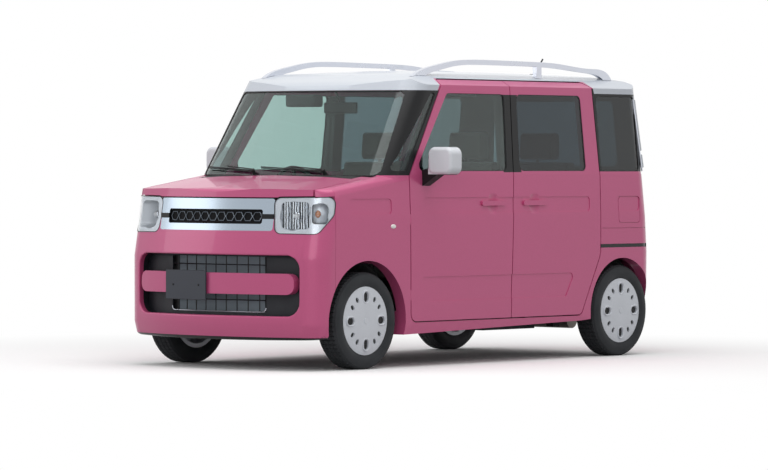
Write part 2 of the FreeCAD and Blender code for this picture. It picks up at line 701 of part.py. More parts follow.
# nose: lamps, grilles, bumper, bonnet
LAMP_TURN = math.radians(40.0)
LAMP_OUTLINE_SHARES = (
    (-0.2060, 0.4340), (-0.2060, 0.5470), (-0.1022, 0.5500), (-0.1055, 0.4920), (-0.1330, 0.4325),
)
LAMP_ROUND_SHARES = (0.010, 0.012, 0.012, 0.018, 0.018)


def lamp_prism(offset):
    """Headlamp outline drawn across its own view direction and run through the corner."""
    across = Vector(math.cos(LAMP_TURN), math.sin(LAMP_TURN), 0)
    forward = Vector(math.sin(LAMP_TURN), -math.cos(LAMP_TURN), 0)
    base = forward * (0.25 * LENGTH)
    points = shares_to_points(LAMP_OUTLINE_SHARES, LENGTH, HEIGHT)
    radii = [share * LENGTH for share in LAMP_ROUND_SHARES]

    def place(a, b):
        """Point of the outline plane."""
        spot = across * a + base
        return spot.x, spot.y, b

    wire = rounded_wire(points, radii, place)
    if offset:
        wire = wire.makeOffset2D(offset)
    return Part.Face(wire).extrude(forward * (0.35 * LENGTH))


def layer(near, far):
    """Layer of the nose between two depths under the outer skin."""
    skin = outer if near == 0 else lower_form(near, near)
    return skin.cut(tower(LOWER_SECTION_SHARES, far))


def front_prism(half, bottom, rise, radius, offset):
    """Rounded rectangle in front view, run through the nose."""
    half = half + offset
    low = bottom - offset
    high = bottom + rise + offset
    points = [(-half, low), (half, low), (half, high), (-half, high)]
    return prism("XZ", points, radius + offset, FRONT - OVER, FRONT + 0.12 * LENGTH)


lamp_hole = lamp_prism(SEAT)
lamp_region = lamp_prism(0)
grille_region = front_prism(GRILLE_HALF, GRILLE_BOTTOM, GRILLE_RISE, size("grille_round"), 0)
grille_hole = front_prism(GRILLE_HALF, GRILLE_BOTTOM, GRILLE_RISE, size("grille_round"), SEAT)
insert_region = front_prism(INSERT_HALF, INSERT_BOTTOM, INSERT_RISE, size("insert_round"), 0)
mouth_region = front_prism(MOUTH_HALF, MOUTH_BOTTOM, MOUTH_RISE, size("mouth_round"), 0)

LAMP_ACROSS = Vector(math.cos(LAMP_TURN), math.sin(LAMP_TURN), 0)
LAMP_AHEAD = Vector(math.sin(LAMP_TURN), -math.cos(LAMP_TURN), 0)


def lamp_bowl(across_share, ahead_share, level_share, radius, root):
    """Hollow cone of one reflector, opening forward through the lens."""
    deep = size("bowl_depth")
    mouth = LAMP_ACROSS * (across_share * LENGTH) + LAMP_AHEAD * (ahead_share * LENGTH)
    mouth = mouth + Vector(0, 0, level_share * HEIGHT)
    bowl = Part.makeCone(root, radius, deep, mouth - LAMP_AHEAD * deep, LAMP_AHEAD)
    return bowl.fuse(Part.makeCylinder(radius, deep, mouth, LAMP_AHEAD))


lens = layer(0, size("lens_thick")).common(lamp_region)
housing = layer(size("lens_thick") + SEAT, size("lamp_depth")).common(lamp_region)
housing = largest(housing.cut([
    lamp_bowl(-0.1760, 0.4560, 0.4900, size("bowl_radius"), size("bowl_root")),
    lamp_bowl(-0.1280, 0.4520, 0.5060, size("turn_radius"), size("turn_root")),
]))
keep("headlamp_lenses", Part.makeCompound([lens, mirrored(lens)]))
keep("headlamps", Part.makeCompound([housing, mirrored(housing)]))
grille_layer = layer(0, size("grille_depth"))
keep("upper_grille", grille_layer.common(grille_region).cut(insert_region).cut([lamp_hole, mirrored(lamp_hole)]))
SUNK = size("insert_sunk")
insert_layer = layer(SUNK, SUNK + size("insert_thick"))
insert = insert_layer.common(front_prism(INSERT_HALF, INSERT_BOTTOM, INSERT_RISE, size("insert_round"), -SEAT))
CELL_SHARES = ((-0.0132, 0.0), (-0.0070, 0.0062), (0.0070, 0.0062), (0.0132, 0.0), (0.0070, -0.0062), (-0.0070, -0.0062))
cells = []
for column in range(-10, 11):
    for row in (-1, 0, 1):
        middle = 0.0220 * WIDTH * column
        level = INSERT_BOTTOM + INSERT_RISE / 2 + 0.0146 * HEIGHT * (row + (0.5 if column % 2 else 0.0))
        if abs(level - INSERT_BOTTOM - INSERT_RISE / 2) > 0.4 * INSERT_RISE:
            continue
        corners = [(middle + a * WIDTH, level + b * HEIGHT) for a, b in CELL_SHARES]
        cells.append(prism("XZ", corners, 0, FRONT - OVER, FRONT + OVER))
cell_space = layer(0, SUNK + size("cell_depth")).common(Part.makeCompound(cells))
keep("grille_insert", largest(insert.cut(cell_space)))
nose_holes = [lamp_hole, mirrored(lamp_hole), grille_hole]

bonnet_cut_z = GRILLE_BOTTOM + GRILLE_RISE + GAP
bonnet_region = block((-BONNET_HALF, FRONT - OVER, bonnet_cut_z), (BONNET_HALF, BONNET_REAR, HEIGHT))
bonnet_hole = block(
    (-BONNET_HALF - GAP, FRONT - OVER, bonnet_cut_z - GAP), (BONNET_HALF + GAP, BONNET_REAR + GAP, HEIGHT))
hinge_low = 0.578 * HEIGHT
hinge_arms = []
hinge_posts = []
for side in (-1, 1):
    low_x, high_x = sorted((side * 0.37 * WIDTH, side * 0.39 * WIDTH))
    hinge_arms.append(block((low_x, BONNET_REAR - 0.012 * LENGTH, hinge_low), (high_x, BONNET_REAR, 0.604 * HEIGHT)))
    hinge_posts.append(block((low_x, BONNET_REAR - 0.012 * LENGTH, 0.50 * HEIGHT), (high_x, CABIN_FRONT - OVER, hinge_low - SEAT)))
bonnet = largest(wall.common(bonnet_region).cut([lamp_prism(GAP), mirrored(lamp_prism(GAP))]))
keep("bonnet", bonnet.fuse(hinge_arms))
bumper_region = block((-WIDTH, FRONT - OVER, 0), (WIDTH, BUMPER_SEAM, bonnet_cut_z - GAP))
bumper = wall.common(bumper_region).cut(nose_holes + [mouth_region])
keep("front_bumper", largest(bumper))
bar = layer(0, size("bar_depth")).common(
    front_prism(BAR_HALF, BAR_BOTTOM, BAR_RISE, size("bar_round"), 0))
plate_bolts = []
for side in (-1, 1):
    spot = (PLATE_MIDDLE + side * size("bolt_spacing") / 2, FRONT - OVER, PLATE_LEVEL)
    plate_bolts.append(rod(spot, (spot[0], FRONT + OVER, spot[2]), size("bolt_radius")))
keep("bumper_bar", bar.cut(plate_bolts))
MOUTH_DEPTH = size("mouth_depth")
MOUTH_ROUND = size("mouth_round")
GRID_BAR = size("grid_bar")
ring = layer(size("mouth_step") + SEAT, MOUTH_DEPTH)
ring = ring.common(front_prism(MOUTH_HALF, MOUTH_BOTTOM, MOUTH_RISE, MOUTH_ROUND, 1.5 * GRID_BAR))
ring = ring.cut(mouth_region)
back = layer(MOUTH_DEPTH - 1.75 * GRID_BAR, MOUTH_DEPTH).common(
    front_prism(MOUTH_HALF, MOUTH_BOTTOM, MOUTH_RISE, MOUTH_ROUND, GRID_BAR / 2))
back = back.cut(front_prism(0.244 * WIDTH, 0.183 * HEIGHT, 0.177 * HEIGHT, 1.5 * GRID_BAR, 0))
bars = []
for index in range(1, 4):
    level = 0.183 * HEIGHT + index * 0.177 * HEIGHT / 4
    bars.append(block((-0.25 * WIDTH, FRONT, level - GRID_BAR / 2), (0.25 * WIDTH, FRONT + 0.05 * LENGTH, level + GRID_BAR / 2)))
for index in range(-4, 5):
    side = index * 0.244 * WIDTH / 5
    bars.append(block((side - 0.4 * GRID_BAR, FRONT, 0.18 * HEIGHT),
                      (side + 0.4 * GRID_BAR, FRONT + 0.05 * LENGTH, 0.365 * HEIGHT)))
grid = layer(MOUTH_DEPTH - 1.5 * GRID_BAR, MOUTH_DEPTH - GRID_BAR / 4).common(Part.makeCompound(bars))
stays = layer(size("bar_depth"), MOUTH_DEPTH - 1.5 * GRID_BAR).common(Part.makeCompound([
    block((side - 2 * GRID_BAR, FRONT, 0.26 * HEIGHT), (side + 2 * GRID_BAR, FRONT + 0.08 * LENGTH, 0.29 * HEIGHT))
    for side in (-0.30 * WIDTH, 0.30 * WIDTH)]))
keep("lower_grille", ring.fuse([back, grid, stays]))

# fenders
side_split = FLANK_IN
seam = BUMPER_SEAM + SEAT * GAP
FENDER_TOP = BELT + SEAT * GAP


def fender_prism(inner):
    """Space of the left front fender, outwards from a side plane."""
    back = DOOR_FRONT
    corners = [(seam, -OVER), (seam, FENDER_TOP), (back, FENDER_TOP), (back, -OVER)]
    return prism("YZ", corners, 0, inner, WIDTH)


fender_blank = wall.common(fender_prism(side_split)).cut([bonnet_hole, lamp_hole, front_door_hole])
fender_blank = fender_blank.fuse(fender_eyes)
keep("front_fender_left", fender_blank)
keep("front_fender_right", mirrored(fender_blank))

# windscreen
SCREEN_SHARES = ((-0.4580, 0.6160), (0.4580, 0.6160), (0.4230, 0.8905), (-0.4230, 0.8905))


def screen_prism(offset):
    """Windscreen outline in front view."""
    wire = rounded_wire(shares_to_points(SCREEN_SHARES, WIDTH, HEIGHT), WINDOW_ROUND, lambda a, b: (a, -0.36 * LENGTH, b))
    if offset:
        wire = wire.makeOffset2D(offset)
    return Part.Face(wire).extrude(Vector(0, 0.19 * LENGTH, 0))


keep("windscreen", glass_skin.common(screen_prism(-SEAT)))

# roof and tailgate
ROOF_EDGE = DOOR_TOP + GAP
ROOF_SIDE_SHARES = (
    (-0.36, 0.8940), (-0.1300, 0.8940), (-0.1150, 0.9345), (0.3170, 0.9345), (0.3215, 0.8940), (0.52, 0.8940),
    (0.52, 1.02), (-0.36, 1.02),
)
roof_region = prism("YZ", shares_to_points(ROOF_SIDE_SHARES, LENGTH, HEIGHT), 0, -WIDTH, WIDTH)
GATE_SHARES = ((-0.415, 0.3560), (0.415, 0.3560), (0.415, 0.640), (0.385, 1.02), (-0.385, 1.02), (-0.415, 0.640))


def gate_prism(offset):
    """Tailgate outline in rear view."""
    wire = rounded_wire(shares_to_points(GATE_SHARES, WIDTH, HEIGHT), [OVER, OVER, 0, 0, 0, 0],
                        lambda a, b: (a, GATE_TOP + GAP - offset, b))
    if offset:
        wire = wire.makeOffset2D(offset)
    return Part.Face(wire).extrude(Vector(0, 0.2 * LENGTH, 0))


GATE_WINDOW_SHARES = ((-0.345, 0.645), (0.345, 0.645), (0.325, 0.875), (-0.325, 0.875))


def gate_window(offset):
    """Rear window outline in rear view."""
    wire = rounded_wire(shares_to_points(GATE_WINDOW_SHARES, WIDTH, HEIGHT), DOOR_ROUND, lambda a, b: (a, 0.4 * LENGTH, b))
    if offset:
        wire = wire.makeOffset2D(offset)
    return Part.Face(wire).extrude(Vector(0, 0.2 * LENGTH, 0))


gate_hole = gate_prism(GAP)
gate_arms = []
for side in (-1, 1):
    low_x, high_x = sorted((side * 0.255 * WIDTH, side * 0.285 * WIDTH))
    under = block((low_x, GATE_TOP - 0.010 * LENGTH, 0.905 * HEIGHT), (high_x, GATE_TOP + 0.016 * LENGTH, HEIGHT))
    gate_arms.append(under.common(upper_form(size("upper_wall"), size("roof_wall") + SEAT)))
    gate_arms.append(block((low_x, GATE_TOP + GAP + SEAT, 0.905 * HEIGHT), (high_x, GATE_TOP + 0.016 * LENGTH, 0.930 * HEIGHT)))
gate = largest(wall.common(gate_prism(0))).cut(gate_window(0))
keep("tailgate", gate.fuse(gate_arms))
keep("tailgate_glass", glass_skin.common(gate_window(-SEAT)))
lamp_box = block(
    (TAIL_LAMP_INNER, 0.467 * LENGTH, TAIL_LAMP_BOTTOM), (WIDTH, REAR + OVER, TAIL_LAMP_TOP))
tail_lamp = wall.common(lamp_box).cut(gate_hole)
keep("tail_lamps", Part.makeCompound([tail_lamp, mirrored(tail_lamp)]))
bumper_box = block((-WIDTH, REAR_BUMPER_FRONT, 0), (WIDTH, REAR + OVER, REAR_BUMPER_TOP))
keep("rear_bumper", wall.common(bumper_box).cut(gate_hole))
keep("roof_panel", wall.common(roof_region).cut([gate_hole, screen_prism(0)]))

# what is left of the wall beside the doors: sill, pillars and rear quarter
left_half = block((side_split, seam, 0), (WIDTH, REAR + OVER, HEIGHT))
side_holes = [
    fender_prism(side_split - OVER), window(FRONT_QUARTER, WINDOW_ROUND / 2, 0),
    window(REAR_QUARTER, WINDOW_ROUND, 0), front_door_hole, slide_hole, lamp_box, gate_hole, bumper_box,
    roof_region, screen_prism(0), bonnet_hole,
]
body_side = wall.common(left_half)
for hole in side_holes:
    body_side = body_side.cut(hole)
REAR_SEAM_SHARES = ((0.3255, 0.4361), (0.3255, 0.4383), (0.4748, 0.4383), (0.4748, 0.4361))
STRIP_SHARES = ((0.3300, 0.3711), (0.3300, 0.3833), (0.4700, 0.3833), (0.4700, 0.3711))
PILLAR_SHARES = ((0.0545, 0.56), (0.0545, 0.90), (0.0545, 0.99), (0.0810, 0.99), (0.0810, 0.56))
GROOVE = size("groove_depth")
body_side = largest(body_side).cut([pressing(REAR_SEAM_SHARES, 0, GROOVE), pressing(STRIP_SHARES, 0, BEAD_DEPTH)])
pillar_in = size("upper_wall") + GAP
pillar_high = upper_form(pillar_in, size("roof_wall") + SEAT).cut(upper_form(pillar_in + OVER, size("roof_wall") + OVER))
pillar_high = pillar_high.common(
    prism("YZ", shares_to_points(PILLAR_SHARES, LENGTH, HEIGHT), 0, 0.385 * WIDTH, WIDTH))
pillar_low = block((0.405 * WIDTH, 0.0545 * LENGTH, 0.165 * HEIGHT), (0.4440 * WIDTH, 0.0810 * LENGTH, 0.590 * HEIGHT))
body_side = largest(body_side.fuse([pillar_low, largest(pillar_high)]))
lid_ring = pressing(LID_SHARES, BEAD_ROUND, GROOVE)
lid_points = shares_to_points(LID_SHARES, LENGTH, HEIGHT)
lid_face = Part.Face(rounded_wire(lid_points, BEAD_ROUND, lambda a, b: (FLANK_IN, a, b)).makeOffset2D(-size("lid_groove")))
lid_ring = lid_ring.cut(lid_face.extrude(Vector(HALF + OVER - FLANK_IN, 0, 0)))
keep("body_side_left", largest(body_side.cut(lid_ring)))
keep("body_side_right", mirrored(body_side))

# floor with its kick-up over the rear axle, firewall, cowl and wheel housings
KICK = 0.2945 * LENGTH
KICK_LEVEL = 0.190 * HEIGHT
KICK_TOP = KICK_LEVEL + size("floor_thick")
FLOOR_LOW = size("floor_level")
FLOOR_BACK = REAR_BUMPER_FRONT - SEAT
SHEET = size("sheet_thick")


def tub(front, inner_x, low):
    """Wheel housing: a round shell over the wheel with an inner disc wall."""
    centre = wheel_axis(front, 1)
    radius = size("arch_front") if front else size("arch_rear")
    start = Vector(inner_x - SHEET, centre.y, centre.z)
    width = side_split - inner_x
    cover = Part.makeCylinder(radius + SHEET, width + SHEET, start, Vector(1, 0, 0))
    hollow = Part.makeCylinder(radius, width + OVER, Vector(inner_x, centre.y, centre.z), Vector(1, 0, 0))
    front_y = CABIN_FRONT - OVER if front else 0
    back_y = 0 if front else FLOOR_BACK
    return cover.cut(hollow).common(block((0, front_y, low), (WIDTH, back_y, HEIGHT)))


floor_front = block((-side_split, CABIN_FRONT - OVER, FLOOR_LOW), (side_split, KICK, FLOOR)).cut(arches)
riser = block((-side_split, KICK - SHEET, FLOOR_LOW), (side_split, KICK, KICK_TOP))
floor_rear = block((-side_split, KICK - SHEET, KICK_LEVEL), (side_split, FLOOR_BACK, KICK_TOP)).cut(arches)
firewall = largest(wall.common(block(
    (-side_split, CABIN_FRONT - OVER, FLOOR_LOW), (side_split, CABIN_FRONT, BELT - OVER))).cut(arches))
cowl_space = block((-side_split, BONNET_REAR + GAP, BELT - 2 * OVER), (side_split, CABIN_FRONT + OVER, HEIGHT))
cowl = largest(wall.common(cowl_space).cut(screen_prism(0)))
tubs = []
for front, low in ((True, FLOOR_LOW), (False, KICK_LEVEL)):
    housing_left = tub(front, size("arch_inner"), low)
    tubs.append(housing_left)
    tubs.append(mirrored(housing_left))
keep("floor_pan", floor_front.fuse([riser, floor_rear, firewall, cowl] + tubs))

# engine bay: side members, strut tower plates, radiator support and hinge posts
BAY_FRONT = "Sizes.body_length * (-0.46)"
BAY_BACK = "Sizes.body_length * (-0.3004) - Sizes.overrun"
FRONT_LINE = "Sizes.front_overhang - Sizes.body_length / 2"
REAR_LINE = "Sizes.body_length / 2 - Sizes.rear_overhang"
BONNET_LINE = "Sizes.body_length * (-0.3275)"
bay = []
for side, name in ((1, "left"), (-1, "right")):
    inner, far = sorted((0.222 * side, 0.262 * side))
    bay.append(slab("side_member_" + name, (inner, BAY_FRONT, 0.225), (far, BAY_BACK, 0.275)))
    inner, far = sorted((0.222 * side, 0.360 * side))
    bay.append(slab("tower_plate_" + name, (inner, FRONT_LINE + " - Sizes.body_length * 0.02", 0.4744),
                    (far, BAY_BACK, 0.490)))
    inner, far = sorted((0.370 * side, 0.390 * side))
    bay.append(slab("hinge_post_" + name, (inner, BONNET_LINE + " - Sizes.body_length * 0.012", 0.480),
                    (far, BAY_BACK, "Sizes.rail_top * 0.578 - Sizes.seat_gap")))
frame_sheet = slab("support_sheet", (-0.262, BAY_FRONT, 0.165), (0.262, -0.448, 0.420))
frame_window = slab("support_window", (-0.222, -0.500, 0.180), (0.222, 0.0, 0.405))
shown("front_body_frame", fused("bay_frame", bay + [combined("Cut", "radiator_support", frame_sheet, frame_window)]))
shown("radiator", slab("radiator_core", ("Sizes.seat_gap - Sizes.body_width * 0.222", BAY_FRONT,
                                         "Sizes.rail_top * 0.180 + Sizes.seat_gap"),
                       ("Sizes.body_width * 0.222 - Sizes.seat_gap", -0.450,
                        "Sizes.rail_top * 0.405 - Sizes.seat_gap")))
shown("engine_block", slab("engine_box", (-0.190, -0.425, 0.170), (0.190, -0.330, 0.430)))
subframe = [
    slab("cross_member", (-0.262, FRONT_LINE + " - Sizes.body_length * 0.02", 0.098),
         (0.262, FRONT_LINE + " + Sizes.body_length * 0.02", 0.125)),
    slab("engine_mount", (-0.150, FRONT_LINE + " - Sizes.body_length * 0.009", 0.120),
         (0.150, FRONT_LINE + " + Sizes.body_length * 0.009", 0.170)),
]
for side, name in ((1, "left"), (-1, "right")):
    inner, far = sorted((0.2285 * side, 0.2555 * side))
    subframe.append(slab("frame_post_" + name, (inner, FRONT_LINE + " - Sizes.body_length * 0.0075", 0.120),
                         (far, FRONT_LINE + " + Sizes.body_length * 0.0075", 0.225)))
    subframe.append(round_bar("lower_arm_" + name, (0.250 * side, FRONT_LINE, 0.108),
                              (0.390 * side, FRONT_LINE, 0.100), "Sizes.arm_radius"))
shown("front_subframe", fused("subframe", subframe))

# front knuckles: the kingpin line runs from the lower arm to the tower plate
FOOT_SHARES = (0.400, 0.1150)
TOP_SHARES = (0.332, 0.4735)


def on_kingpin(share):
    """Point of the left kingpin line, its place given as a share of the line."""
    side = FOOT_SHARES[0] + (TOP_SHARES[0] - FOOT_SHARES[0]) * share
    level = FOOT_SHARES[1] + (TOP_SHARES[1] - FOOT_SHARES[1]) * share
    return round(side, 5), FRONT_LINE, round(level, 5)


HUB_LEVEL = "Sizes.tyre_radius"
knuckle = fused("knuckle", [
    round_bar("upright", on_kingpin(0.0), on_kingpin(0.30), "Sizes.upright_radius"),
    round_bar("strut_tube", on_kingpin(0.28), on_kingpin(0.70), "Sizes.strut_radius"),
    round_bar("strut_rod", on_kingpin(0.65), on_kingpin(1.0), "Sizes.arm_radius * 0.75"),
    round_bar("spindle", (0.386, FRONT_LINE, HUB_LEVEL), (0.470, FRONT_LINE, HUB_LEVEL), "Sizes.spindle_radius"),
    round_bar("hub_flange", (0.385, FRONT_LINE, HUB_LEVEL), (0.398, FRONT_LINE, HUB_LEVEL), "Sizes.flange_radius"),
])
opposite("knuckle_right", shown("knuckle_left", knuckle))


TYRE_SIDES = 64


def bored(body, name, radius, height, start):
    """Prism with the tyre's number of sides, cut from its body along the axle."""
    cut = body.newObject("PartDesign::SubtractivePrism", name)
    cut.Polygon = TYRE_SIDES
    cut.setExpression("Circumradius", f"({radius}) / cos({180 / TYRE_SIDES})")
    cut.setExpression("Height", height)
    cut.setExpression("Placement.Base.z", start)


def tyre(label, track, line):
    """Tyre of one axle's left wheel: a ring of flat facets with sloping shoulders on the rim's seat."""
    body = doc.addObject("PartDesign::Body", label + "_body")
    tread = body.newObject("PartDesign::AdditivePrism", label + "_tread")
    tread.Polygon = TYRE_SIDES
    tread.setExpression("Circumradius", "Sizes.tyre_radius")
    tread.setExpression("Height", "Sizes.tyre_width")
    tread.setExpression("Placement.Base.z", "-Sizes.tyre_width / 2")
    doc.recompute()
    walls = [
        f"Face{number}" for number, side in enumerate(tread.Shape.Faces, start=1)
        if len(side.Edges) == TYRE_SIDES
    ]
    shoulder = body.newObject("PartDesign::Chamfer", label + "_shoulder")
    shoulder.Base = (tread, walls)
    shoulder.ChamferType = "Two distances"
    shoulder.setExpression("Size", "Sizes.tyre_width * 0.11")
    shoulder.setExpression("Size2", "Sizes.tyre_radius * 0.17")
    lip = "Sizes.cover_radius + 2 * Sizes.seat_gap"
    bored(body, label + "_seat", "Sizes.rim_seat + Sizes.seat_gap", "Sizes.tyre_width * 2", "-Sizes.tyre_width")
    bored(body, label + "_outer_lip", lip, "Sizes.tyre_width", "Sizes.tyre_width * 0.42")
    bored(body, label + "_inner_lip", lip, "Sizes.tyre_width", "Sizes.tyre_width * (-1.42)")
    body.Placement = Placement(Vector(0, 0, 0), Rotation(Vector(0, 1, 0), 90))
    bound_place(body, (f"{track} / 2", line, HUB_LEVEL))
    return shown(label, body)


def wheel(label, track, line):
    """Rim, disc and pressed cover of one axle's left wheel, with the cover's slots."""
    body = doc.addObject("PartDesign::Body", label + "_body")
    half = "Sizes.tyre_width / 2"
    low = f"({half}) * 0.84"
    face = f"({half}) * 0.90"
    outline = [
        (f"-({low}) - Sizes.rim_thick / 2", "Sizes.rim_seat - Sizes.rim_thick"),
        (f"-({low}) - Sizes.rim_thick / 2", "Sizes.rim_radius"),
        (f"-({low}) - Sizes.seat_gap", "Sizes.rim_radius"),
        (f"-({low}) - Sizes.seat_gap", "Sizes.rim_seat"),
        (f"{low} + Sizes.seat_gap", "Sizes.rim_seat"),
        (f"{low} + Sizes.seat_gap", "Sizes.cover_radius"),
        (f"{face} - Sizes.disc_thick / 8", "Sizes.cover_radius"),
        (f"{face} + Sizes.disc_thick / 8", "Sizes.cover_radius * 0.88"),
        (f"{face} + Sizes.disc_thick / 2", "Sizes.cover_radius * 0.40"),
        (f"{face} + Sizes.disc_thick / 4", "Sizes.spindle_radius + Sizes.seat_gap"),
        (f"-({half}) * 0.30", "Sizes.spindle_radius + Sizes.seat_gap"),
        (f"-({half}) * 0.30", "Sizes.hub_radius"),
        (f"{face} - Sizes.disc_thick", "Sizes.hub_radius * 1.3"),
        (f"{face} - Sizes.disc_thick", "Sizes.rim_seat - Sizes.rim_thick"),
    ]
    section = corner_sketch(body, label + "_section", "XZ_Plane", outline)
    spun(body, label + "_spun", section)
    tops = (
        ("slot", "Sizes.slot_reach", "Sizes.slot_long", "Sizes.slot_wide", 0.0),
        ("vent_ahead", "Sizes.vent_reach", "Sizes.vent_long", "Sizes.vent_wide", 33.0),
        ("vent_behind", "Sizes.vent_reach", "Sizes.vent_long", "Sizes.vent_wide", 57.0),
    )
    for name, reach, long, wide, turn in tops:
        sketch = slot_sketch(body, f"{label}_{name}_sketch", reach, long, wide, turn, face)
        pocket = body.newObject("PartDesign::Pocket", f"{label}_{name}")
        pocket.Profile = sketch
        pocket.Type = "Length"
        pocket.Midplane = True
        pocket.setExpression("Length", "Sizes.disc_thick * 4")
        doc.recompute()
        pattern = body.newObject("PartDesign::PolarPattern", f"{label}_{name}_round")
        pattern.Originals = [pocket]
        pattern.Axis = (section, ["H_Axis"])
        pattern.Angle = 360
        pattern.Occurrences = 4
        body.Tip = pattern
    bound_place(body, (f"{track} / 2", line, HUB_LEVEL))
    return shown(label, body)


for axle, track, line in (("front", "Sizes.track_front", FRONT_LINE), ("rear", "Sizes.track_rear", REAR_LINE)):
    opposite(f"tyre_{axle}_right", tyre(f"tyre_{axle}_left", track, line))
    opposite(f"wheel_{axle}_right", wheel(f"wheel_{axle}_left", track, line))

# rear axle: two trailing arms on brackets, a cross beam, drums and stub axles
PIVOT_LINE = REAR_LINE + " - Sizes.body_length * 0.120"
BEAM_LINE = REAR_LINE + " - Sizes.body_length * 0.045"
BEAM_LEVEL = "Sizes.rail_top * 0.045 + Sizes.tyre_radius * 0.625"
trailing = []
for side, name in ((1, "left"), (-1, "right")):
    trailing.append(round_bar("trailing_arm_" + name, (0.345 * side, PIVOT_LINE, 0.120),
                              (0.345 * side, REAR_LINE, HUB_LEVEL), "Sizes.trailing_radius"))
    trailing.append(round_bar("drum_" + name, (0.325 * side, REAR_LINE, HUB_LEVEL),
                              (0.398 * side, REAR_LINE, HUB_LEVEL), "Sizes.drum_radius"))
    trailing.append(round_bar("stub_axle_" + name, (0.345 * side, REAR_LINE, HUB_LEVEL),
                              (0.470 * side, REAR_LINE, HUB_LEVEL), "Sizes.spindle_radius"))
    inner, far = sorted((0.326 * side, 0.364 * side))
    trailing.append(slab("arm_bracket_" + name, (inner, PIVOT_LINE + " - Sizes.body_length * 0.009", 0.103),
                         (far, PIVOT_LINE + " + Sizes.body_length * 0.009", "Sizes.floor_level - Sizes.seat_gap")))
trailing.append(round_bar("cross_beam", (-0.345, BEAM_LINE, BEAM_LEVEL), (0.345, BEAM_LINE, BEAM_LEVEL),
                          "Sizes.beam_radius"))
shown("rear_axle", fused("axle_beam", trailing))
shown("fuel_tank", slab("tank_box", (-0.250, 0.120, 0.095), (0.250, 0.270, "Sizes.floor_level")))
pipes = [round_bar("silencer", (-0.160, 0.435, 0.115), (0.160, 0.435, 0.115), "Sizes.silencer_radius")]
for side, name in ((1, "left"), (-1, "right")):
    inner, far = sorted((0.114 * side, 0.126 * side))
    pipes.append(slab("hanger_" + name, (inner, 0.4330, 0.115),
                      (far, 0.4370, "Sizes.rail_top * 0.190 - Sizes.seat_gap")))
shown("exhaust", fused("silencer_on_hangers", pipes))

# cabin
DASH_REAR = -0.1885 * LENGTH
DASH_SHARES = (
    (-0.3004, 0.400), (-0.3004, 0.585), (-0.2650, 0.603), (-0.2050, 0.580), (-0.1885, 0.530), (-0.2050, 0.440),
    (-0.2500, 0.400),
)
DASH_ROUND_SHARES = (0.0, 0.0035, 0.0177, 0.0177, 0.0118, 0.0118, 0.0059)
dash_points = [(max(a, CABIN_FRONT + SEAT), b) for a, b in shares_to_points(DASH_SHARES, LENGTH, HEIGHT)]
dash = prism("YZ", dash_points, [share * LENGTH for share in DASH_ROUND_SHARES], -0.42 * WIDTH, 0.42 * WIDTH)
CUSHION = size("cushion_round")
HEADREST = size("headrest_half")
SEAT_BACK_SHARES = ((-0.0295, 0.26), (0.0118, 0.66), (0.0353, 0.66), (0.0029, 0.26))
REST_SHARES = ((0.0177, 0.67), (0.0221, 0.76), (0.0442, 0.76), (0.0442, 0.67))


def seat_shape(centre_x, half, front_y, back_y):
    """Seat of base, cushion, leaning back and headrest."""
    corners = [(front_y, 0.27 * HEIGHT), (front_y, 0.35 * HEIGHT), (back_y, 0.325 * HEIGHT), (back_y, 0.25 * HEIGHT)]
    cushion = prism("YZ", corners, CUSHION, centre_x - half, centre_x + half)
    behind = [(back_y + a, b) for a, b in shares_to_points(SEAT_BACK_SHARES, LENGTH, HEIGHT)]
    back = prism("YZ", behind, CUSHION, centre_x - half, centre_x + half)
    foot = 0.0147 * LENGTH
    base = block((centre_x - half * 0.8, front_y + foot, FLOOR), (centre_x + half * 0.8, back_y - foot, 0.28 * HEIGHT))
    above = [(back_y + a, b) for a, b in shares_to_points(REST_SHARES, LENGTH, HEIGHT)]
    rest = prism("YZ", above, CUSHION, centre_x - HEADREST, centre_x + HEADREST)
    stem = rod((centre_x, back_y + 0.0236 * LENGTH, 0.64 * HEIGHT), (centre_x, back_y + 0.0295 * LENGTH, 0.70 * HEIGHT),
               CUSHION / 3)
    return cushion.fuse([back, base, rest, stem])


SEAT_SIDE = 0.2305 * WIDTH
keep("front_seats", Part.makeCompound([
    seat_shape(side * SEAT_SIDE, size("seat_half"), -0.095 * LENGTH, 0.055 * LENGTH) for side in (-1, 1)]))
keep("rear_seat", Part.makeCompound([
    seat_shape(side * 0.19 * WIDTH, 0.18 * WIDTH, 0.160 * LENGTH, 0.285 * LENGTH) for side in (-1, 1)]))

# steering wheel
hub_point = Vector(-SEAT_SIDE, -0.1384 * LENGTH, 0.5472 * HEIGHT)
column_end = Vector(-SEAT_SIDE, DASH_REAR - 0.01 * LENGTH, 0.5022 * HEIGHT)
axis = hub_point - column_end
axis.normalize()
across = Vector(1, 0, 0)
upward = axis.cross(across)
GRIP = size("steering_tube")
RIM = size("steering_radius")
RIM_SIDES = 8
rim_corners = []
for index in range(RIM_SIDES):
    angle = 2 * math.pi * (index + 0.5) / RIM_SIDES
    rim_corners.append(hub_point + upward * (RIM + GRIP * math.cos(angle)) + axis * (GRIP * math.sin(angle)))
torus = Part.Face(Part.makePolygon(rim_corners + rim_corners[:1])).revolve(hub_point, axis, 360)
HUB_THICK = size("hub_thick")
hub = Part.makeCylinder(1.35 * HUB_THICK, HUB_THICK, hub_point - axis * (0.85 * HUB_THICK), axis)
spokes = []
for direction in (across, across * -1.0, upward * -1.0):
    spokes.append(rod(hub_point - axis * (0.22 * HUB_THICK), hub_point - axis * (0.11 * HUB_THICK) + direction * RIM,
                      size("spoke_radius")))
keep("steering_wheel", torus.fuse([hub] + spokes))
column = rod(column_end - axis * (2 * OVER), hub_point - axis * (0.85 * HUB_THICK + SEAT), size("column_radius"))
keep("dashboard", dash.fuse(column))

